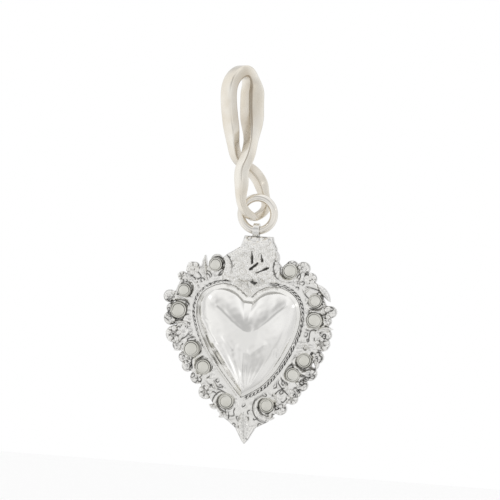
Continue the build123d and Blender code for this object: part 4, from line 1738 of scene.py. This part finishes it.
    def slab(self, plan: Plan, spots: Array, height: Array, recess: Array, keep: Array) -> Shell:
        """Close the kept cells of a grid into a slab.

        A cell is kept where its four corners are. A wall stands on each side of it that has no kept cell
        beyond.

        Args:
            plan: The charm's plan.
            spots: The grid's places, row by row.
            height: The top's height at each.
            recess: How far each is recessed.
            keep: Which places to keep, as rows by columns.
        Returns:
            The slab.
        """
        cells = keep[:-1, :-1] & keep[1:, :-1] & keep[:-1, 1:] & keep[1:, 1:]
        row, column = np.nonzero(cells)
        count, columns = len(spots), keep.shape[1]
        first = row * columns + column
        top = np.stack([first, first + 1, first + columns + 1, first + columns], -1)
        around = np.pad(cells, 1)
        neighbours = (around[:-2, 1:-1], around[1:-1, 2:], around[2:, 1:-1], around[1:-1, :-2])
        walls = []
        for side, near in enumerate(neighbours):
            start, end = top[~near[cells]][:, [side, (side + 1) % 4]].T
            walls.append(np.stack([start, end, end + count, start + count], -1))
        points = np.concatenate([plan.lift(spots, height), plan.lift(spots, np.full(count, -SINK))])
        used, quads = np.unique(np.concatenate([top, top[:, ::-1] + count, *walls]), return_inverse=True)
        depth = np.concatenate([recess, np.zeros(count)])
        return Shell(points[used], quads.reshape(-1, 4), np.zeros((0, 3), dtype=int), depth[used])


# The studio


@dataclass
class Studio:
    """A white room with a pale floor, a soft lamp each side, a tent that the metal mirrors, and the camera.

    A lamp's row is its azimuth and elevation in degrees, its side in metres and its power in watts. The
    mirrored room's front_low, front_band, ceiling, sides, back and glow are a strength, and then a bell's
    middle and width in degrees. Its front_waves and stripes are a strength, how many there are in a turn,
    and for the waves the angle that they start at.
    """

    azimuth: float = 9
    roll: float = 3.6
    lens: float = 180
    sensor: float = 36
    picture_pixels: int = 500
    pixel_size: float = 0.135 * MM
    ring_pixels: tuple[float, float] = (257.7, 214.2)
    floor_z: float = -320 * MM
    floor_reach: float = 3.0
    floor_level: float = 0.97
    lamp_aim: Spec = (3.0 * MM, 0, -34.0 * MM)
    lamp_distance: float = 200 * MM
    tent_middle: Spec = (3.0 * MM, 0, -30.0 * MM)
    tent_radius: float = 260 * MM
    tent_rows: int = 121
    tent_columns: int = 240
    front_reach: tuple[float, float] = (45, 70)
    front_even: float = 0.11
    front_waves: tuple[float, float, float] = (0.06, 5, 40)
    front_low: Spec = (0.24, -30, 14)
    front_rise: tuple[float, float] = (-2, 16)
    front_band: Spec = (0.26, 22, 13)
    stripes: tuple[float, float] = (0.1, 9)
    stripes_rise: tuple[float, float] = (-34, -10)
    ceiling: Spec = (0.42, 40, 15)
    ceiling_azimuth: float = -3
    ceiling_reach: tuple[float, float] = (16, 50)
    sides: tuple[Spec, ...] = ((0.26, 78, 14), (0.3, -80, 9))
    back: Spec = (0.3, 150, 24)
    back_reach: tuple[float, float] = (40, 60)
    under: float = 0.2
    under_rise: tuple[float, float] = (-70, -45)
    glow: Spec = (0.3, -66, 12)
    glow_low: tuple[float, float] = (-36, 16)
    level_range: tuple[float, float] = (0.04, 1.16)
    lamps: dict[str, Spec] = field(
        default_factory=lambda: {"lamp_left": (-62, 38, 0.022, 0.0035), "lamp_right": (68, 24, 0.018, 0.002)}
    )

    def camera(self, plan: Plan) -> None:
        """Stand the camera where the photograph has it: turned by the azimuth and rolled about its own axis.

        Its distance is the picture's real width times the lens over the sensor, and the ring falls on its own
        pixels.

        Args:
            plan: The charm's plan.
        """
        turn, roll = math.radians(self.azimuth), math.radians(self.roll)
        across, up = np.array([math.cos(turn), math.sin(turn), 0]), np.array([0, 0, 1])
        right = across * math.cos(roll) + up * math.sin(roll)
        top = up * math.cos(roll) - across * math.sin(roll)
        aside, below = (self.picture_pixels / 2 - np.array(self.ring_pixels)) * self.pixel_size
        target = np.array([plan.ring_x, 0, plan.ring_z]) + aside * right - below * top
        back = np.cross(right, top)
        distance = self.picture_pixels * self.pixel_size * self.lens / self.sensor
        data = bpy.data.cameras.new("camera")
        data.lens, data.sensor_width = self.lens, self.sensor
        data.clip_start, data.clip_end = 0.01, 20
        camera = link("camera", data)
        camera.matrix_world = stance(right, top, back, target + back * distance)
        bpy.context.scene.camera = camera

    def world(self) -> None:
        """A plain white world of strength 1."""
        world = bpy.data.worlds.new("white_room")
        world.use_nodes = True
        background = world.node_tree.nodes["Background"]
        background.inputs["Color"].default_value = (1, 1, 1, 1)
        background.inputs["Strength"].default_value = 1
        bpy.context.scene.world = world

    def floor(self) -> None:
        """A pale floor below the charm's tip, as one flat square."""
        corners = [(-1, -1), (1, -1), (1, 1), (-1, 1)]
        mesh = bpy.data.meshes.new("floor")
        places = [(x * self.floor_reach, y * self.floor_reach, self.floor_z) for x, y in corners]
        mesh.from_pydata(places, [], [(0, 1, 2, 3)])
        wiring = Wiring("floor_paper")
        looks = {"Base Color": (*[self.floor_level] * 3, 1), "Roughness": 0.9, "Specular IOR Level": 0.1}
        paper = wiring.node("ShaderNodeBsdfPrincipled", looks)
        mesh.materials.append(wiring.done(paper.outputs["BSDF"]))
        link("floor", mesh)

    def lamp(self, name: str, azimuth: float, elevation: float, size: float, power: float) -> None:
        """A square soft lamp aimed at the charm's middle.

        Args:
            name: The lamp's name.
            azimuth: Where it stands round the charm, 0 at the front and 90 at +X.
            elevation: How far above the horizon, in degrees.
            size: The side of the lamp.
            power: In watts.
        """
        data = bpy.data.lights.new(name, "AREA")
        data.shape, data.size, data.energy = "SQUARE", size, power
        back = direction(azimuth, elevation)
        side = np.cross((0, 0, 1), back)
        side = side / np.linalg.norm(side)
        place = np.array(self.lamp_aim) + back * self.lamp_distance
        link(name, data).matrix_world = stance(side, np.cross(back, side), back, place)

    def level(self, azimuth: Array, elevation: Array) -> Array:
        """How bright the room is, as the metal mirrors it, where plain white is 1.

        The front is grey below eye level, in broad upright waves and darkest a third of the way down, with a
        grey band just above it and a darker ceiling strip over that. Low down it has finer upright stripes.
        The sides and the back have a dark strip each, the ground under the charm is a little dark, and a glow
        lies low on the left. Each part is a strength times rises and bells over the two angles, and all of
        them add up.

        Args:
            azimuth: Round the charm, 0 at the front and 90 at +X, in degrees.
            elevation: Above the horizon, in degrees.
        Returns:
            The level at each place.
        """

        def bell(angle: Array, strength: float, middle: float, width: float) -> Array:
            """A bell over an angle, as high as its strength."""
            return strength * bump(angle, middle, width)

        front = fade(np.abs(azimuth), *self.front_reach)
        wave, count, start = self.front_waves
        waved = self.front_even + wave * np.cos(np.radians(azimuth * count + start))
        grey = (waved + bell(elevation, *self.front_low)) * fade(elevation, *self.front_rise)
        grey = front * (grey + bell(elevation, *self.front_band))
        wave, count = self.stripes
        stripes = wave * np.cos(np.radians(azimuth * count)) * front * fade(elevation, *self.stripes_rise)
        ceiling = fade(np.abs(azimuth - self.ceiling_azimuth), *self.ceiling_reach)
        ceiling = ceiling * bell(elevation, *self.ceiling)
        sides = sum(bell(azimuth, *side) for side in self.sides)
        back = bell(np.abs(azimuth), *self.back) * fade(np.abs(elevation), *self.back_reach)
        under = self.under * fade(elevation, *self.under_rise)
        glow = bell(azimuth, *self.glow) * bump(elevation, *self.glow_low)
        return np.clip(1 - grey + stripes - ceiling - sides - back - under + glow, *self.level_range)

    def tent(self) -> None:
        """A ball about the charm, seen only mirrored: each point glows by the level in its direction."""
        elevation, azimuth = np.meshgrid(
            np.linspace(-89.5, 89.5, self.tent_rows),
            np.linspace(-180, 180, self.tent_columns, endpoint=False),
            indexing="ij",
        )
        points = self.tent_middle + np.moveaxis(direction(azimuth, elevation), 0, -1) * self.tent_radius
        glow = tube(points, closed=False, recess=self.level(azimuth, elevation))
        glow.recess[-2:] = 1
        wiring = Wiring("tent_cloth")
        amount = wiring.node("ShaderNodeAttribute", attribute_name="recess")
        shine = wiring.node("ShaderNodeEmission", {"Strength": amount.outputs["Fac"]})
        tent = link("tent", glow.mesh("tent"))
        tent.data.materials.append(wiring.done(shine.outputs["Emission"]))
        tent.visible_camera = tent.visible_shadow = tent.visible_diffuse = False

    def build(self, plan: Plan) -> None:
        """Set up the room, the lamps, the tent and the camera.

        Args:
            plan: The charm's plan.
        """
        self.camera(plan)
        self.world()
        self.floor()
        for name, settings in self.lamps.items():
            self.lamp(name, *settings)
        self.tent()
        bpy.context.scene.view_settings.view_transform = "Standard"


def direction(azimuth: Array | float, elevation: Array | float) -> Array:
    """The way from the charm to a place round it: azimuth 0 is the front, and 90 is +X."""
    a, e = np.radians(azimuth), np.radians(elevation)
    return np.array([np.sin(a) * np.cos(e), -np.cos(a) * np.cos(e), np.sin(e) + 0 * a])


def stance(side: Array, up: Array, back: Array, place: Array) -> Matrix:
    """How a camera or a lamp stands: its three axes and its place, as the columns of a matrix.

    Args:
        side: Its X axis.
        up: Its Y axis.
        back: Its Z axis, away from what it looks at.
        place: Where it stands.
    Returns:
        The matrix.
    """
    matrix = np.eye(4)
    matrix[:3] = np.stack([side, up, back, place], -1)
    return Matrix(matrix.tolist())


@dataclass
class Charm:
    """The whole charm: its heart, its ornaments and the parts that hang it."""

    plan: Plan = field(default_factory=Plan)
    bail: Bail = field(default_factory=Bail)
    ring: JumpRing = field(default_factory=JumpRing)
    heart: Heart = field(default_factory=Heart)
    scrolls: Scrolls = field(default_factory=Scrolls)
    flowers: Flowers = field(default_factory=Flowers)
    balls: Balls = field(default_factory=Balls)
    leaves: Leaves = field(default_factory=Leaves)
    fronds: Fronds = field(default_factory=Fronds)
    ground: Ground = field(default_factory=Ground)

    def rounds(self) -> dict[str, Spec]:
        """Every round ornament.

        Returns:
            Across, down and the radius in units, by name.
        """
        flowers = self.flowers
        named = {"scroll": self.scrolls.places, "rosette": flowers.rosettes, "cluster": flowers.clusters}
        rounds = {f"{kind}_{name}": place for kind, places in named.items() for name, place in places.items()}
        return rounds | self.balls.places

    def hanging_parts(self, dresser: Dresser) -> None:
        """The bail, the jump ring and the eyelet."""
        dresser.place("bail_bent_wire", self.bail.shell(self.plan), "bail_silver", "bail", "bail")
        dresser.place("jump_ring_round_wire", self.ring.shell(self.plan), "ring_silver", "ring", "jump_ring")
        dresser.dress("eyelet", "relief_silver")

    def heart_parts(self, dresser: Dresser) -> None:
        """The dome, its strip and the twisted wire.

        Args:
            dresser: What gives them their finish and body.
        """
        plan, heart = self.plan, self.heart
        dresser.place("dome_pressed", heart.dome(plan), "dome_silver", "charm", "heart_dome")
        dresser.place("rim_strip", heart.rim(plan), "relief_silver", "charm", "heart_rim")
        for side, shares, worn in (
            ("left", heart.left_shares, heart.worn_left), ("right", heart.right_shares, heart.worn_right),
        ):
            shell = heart.rope(plan, shares, worn)
            dresser.place(f"twist_{side}", shell, "relief_silver", "charm", f"rope_{side}")

    def ornaments(self, dresser: Dresser) -> None:
        """The scrolls, flowers, balls, leaves, fronds, ground and plate.

        Args:
            dresser: What gives them their finish and body.
        """
        plan, flowers, leaves = self.plan, self.flowers, self.leaves
        for number, (name, spec) in enumerate(self.scrolls.places.items()):
            shell = self.scrolls.shell(plan, spec, self.scrolls.hand(number))
            dresser.place(f"curl_{name}", shell, "scroll_silver", "charm", f"scroll_{name}")
        for look, kind, specs, build in (
            ("petals", "rosette", flowers.rosettes, flowers.rosette),
            ("berries", "cluster", flowers.clusters, flowers.cluster),
        ):
            for name, spec in specs.items():
                shell = build(plan, spec)
                dresser.place(f"{look}_{name}", shell, "relief_silver", "charm", f"{kind}_{name}")
        dresser.place("balls", self.balls.shell(plan), "relief_silver", "charm", "border_balls")
        for specs, height in ((leaves.leaves, leaves.leaf_height), (leaves.tongues, leaves.tongue_height)):
            for name, spec in specs.items():
                shell = leaves.shell(plan, spec, height)
                dresser.place(f"veined_{name}", shell, "relief_silver", "charm", name)
        for name in self.fronds.outlines:
            dresser.place(f"grained_{name}", self.fronds.shell(plan, name), "relief_silver", "charm", name)
        dresser.place("chased_ground", self.ground.shell(plan, self), "relief_silver", "charm")
        dresser.dress("back_plate", "plate_silver")


def main() -> None:
    """Build the charm and the studio."""
    logging.basicConfig(level=logging.INFO, format="%(message)s")
    charm = Charm()
    dresser = Dresser(Finishes())
    charm.hanging_parts(dresser)
    charm.heart_parts(dresser)
    charm.ornaments(dresser)
    Studio().build(charm.plan)


if __name__ == "__main__":
    main()
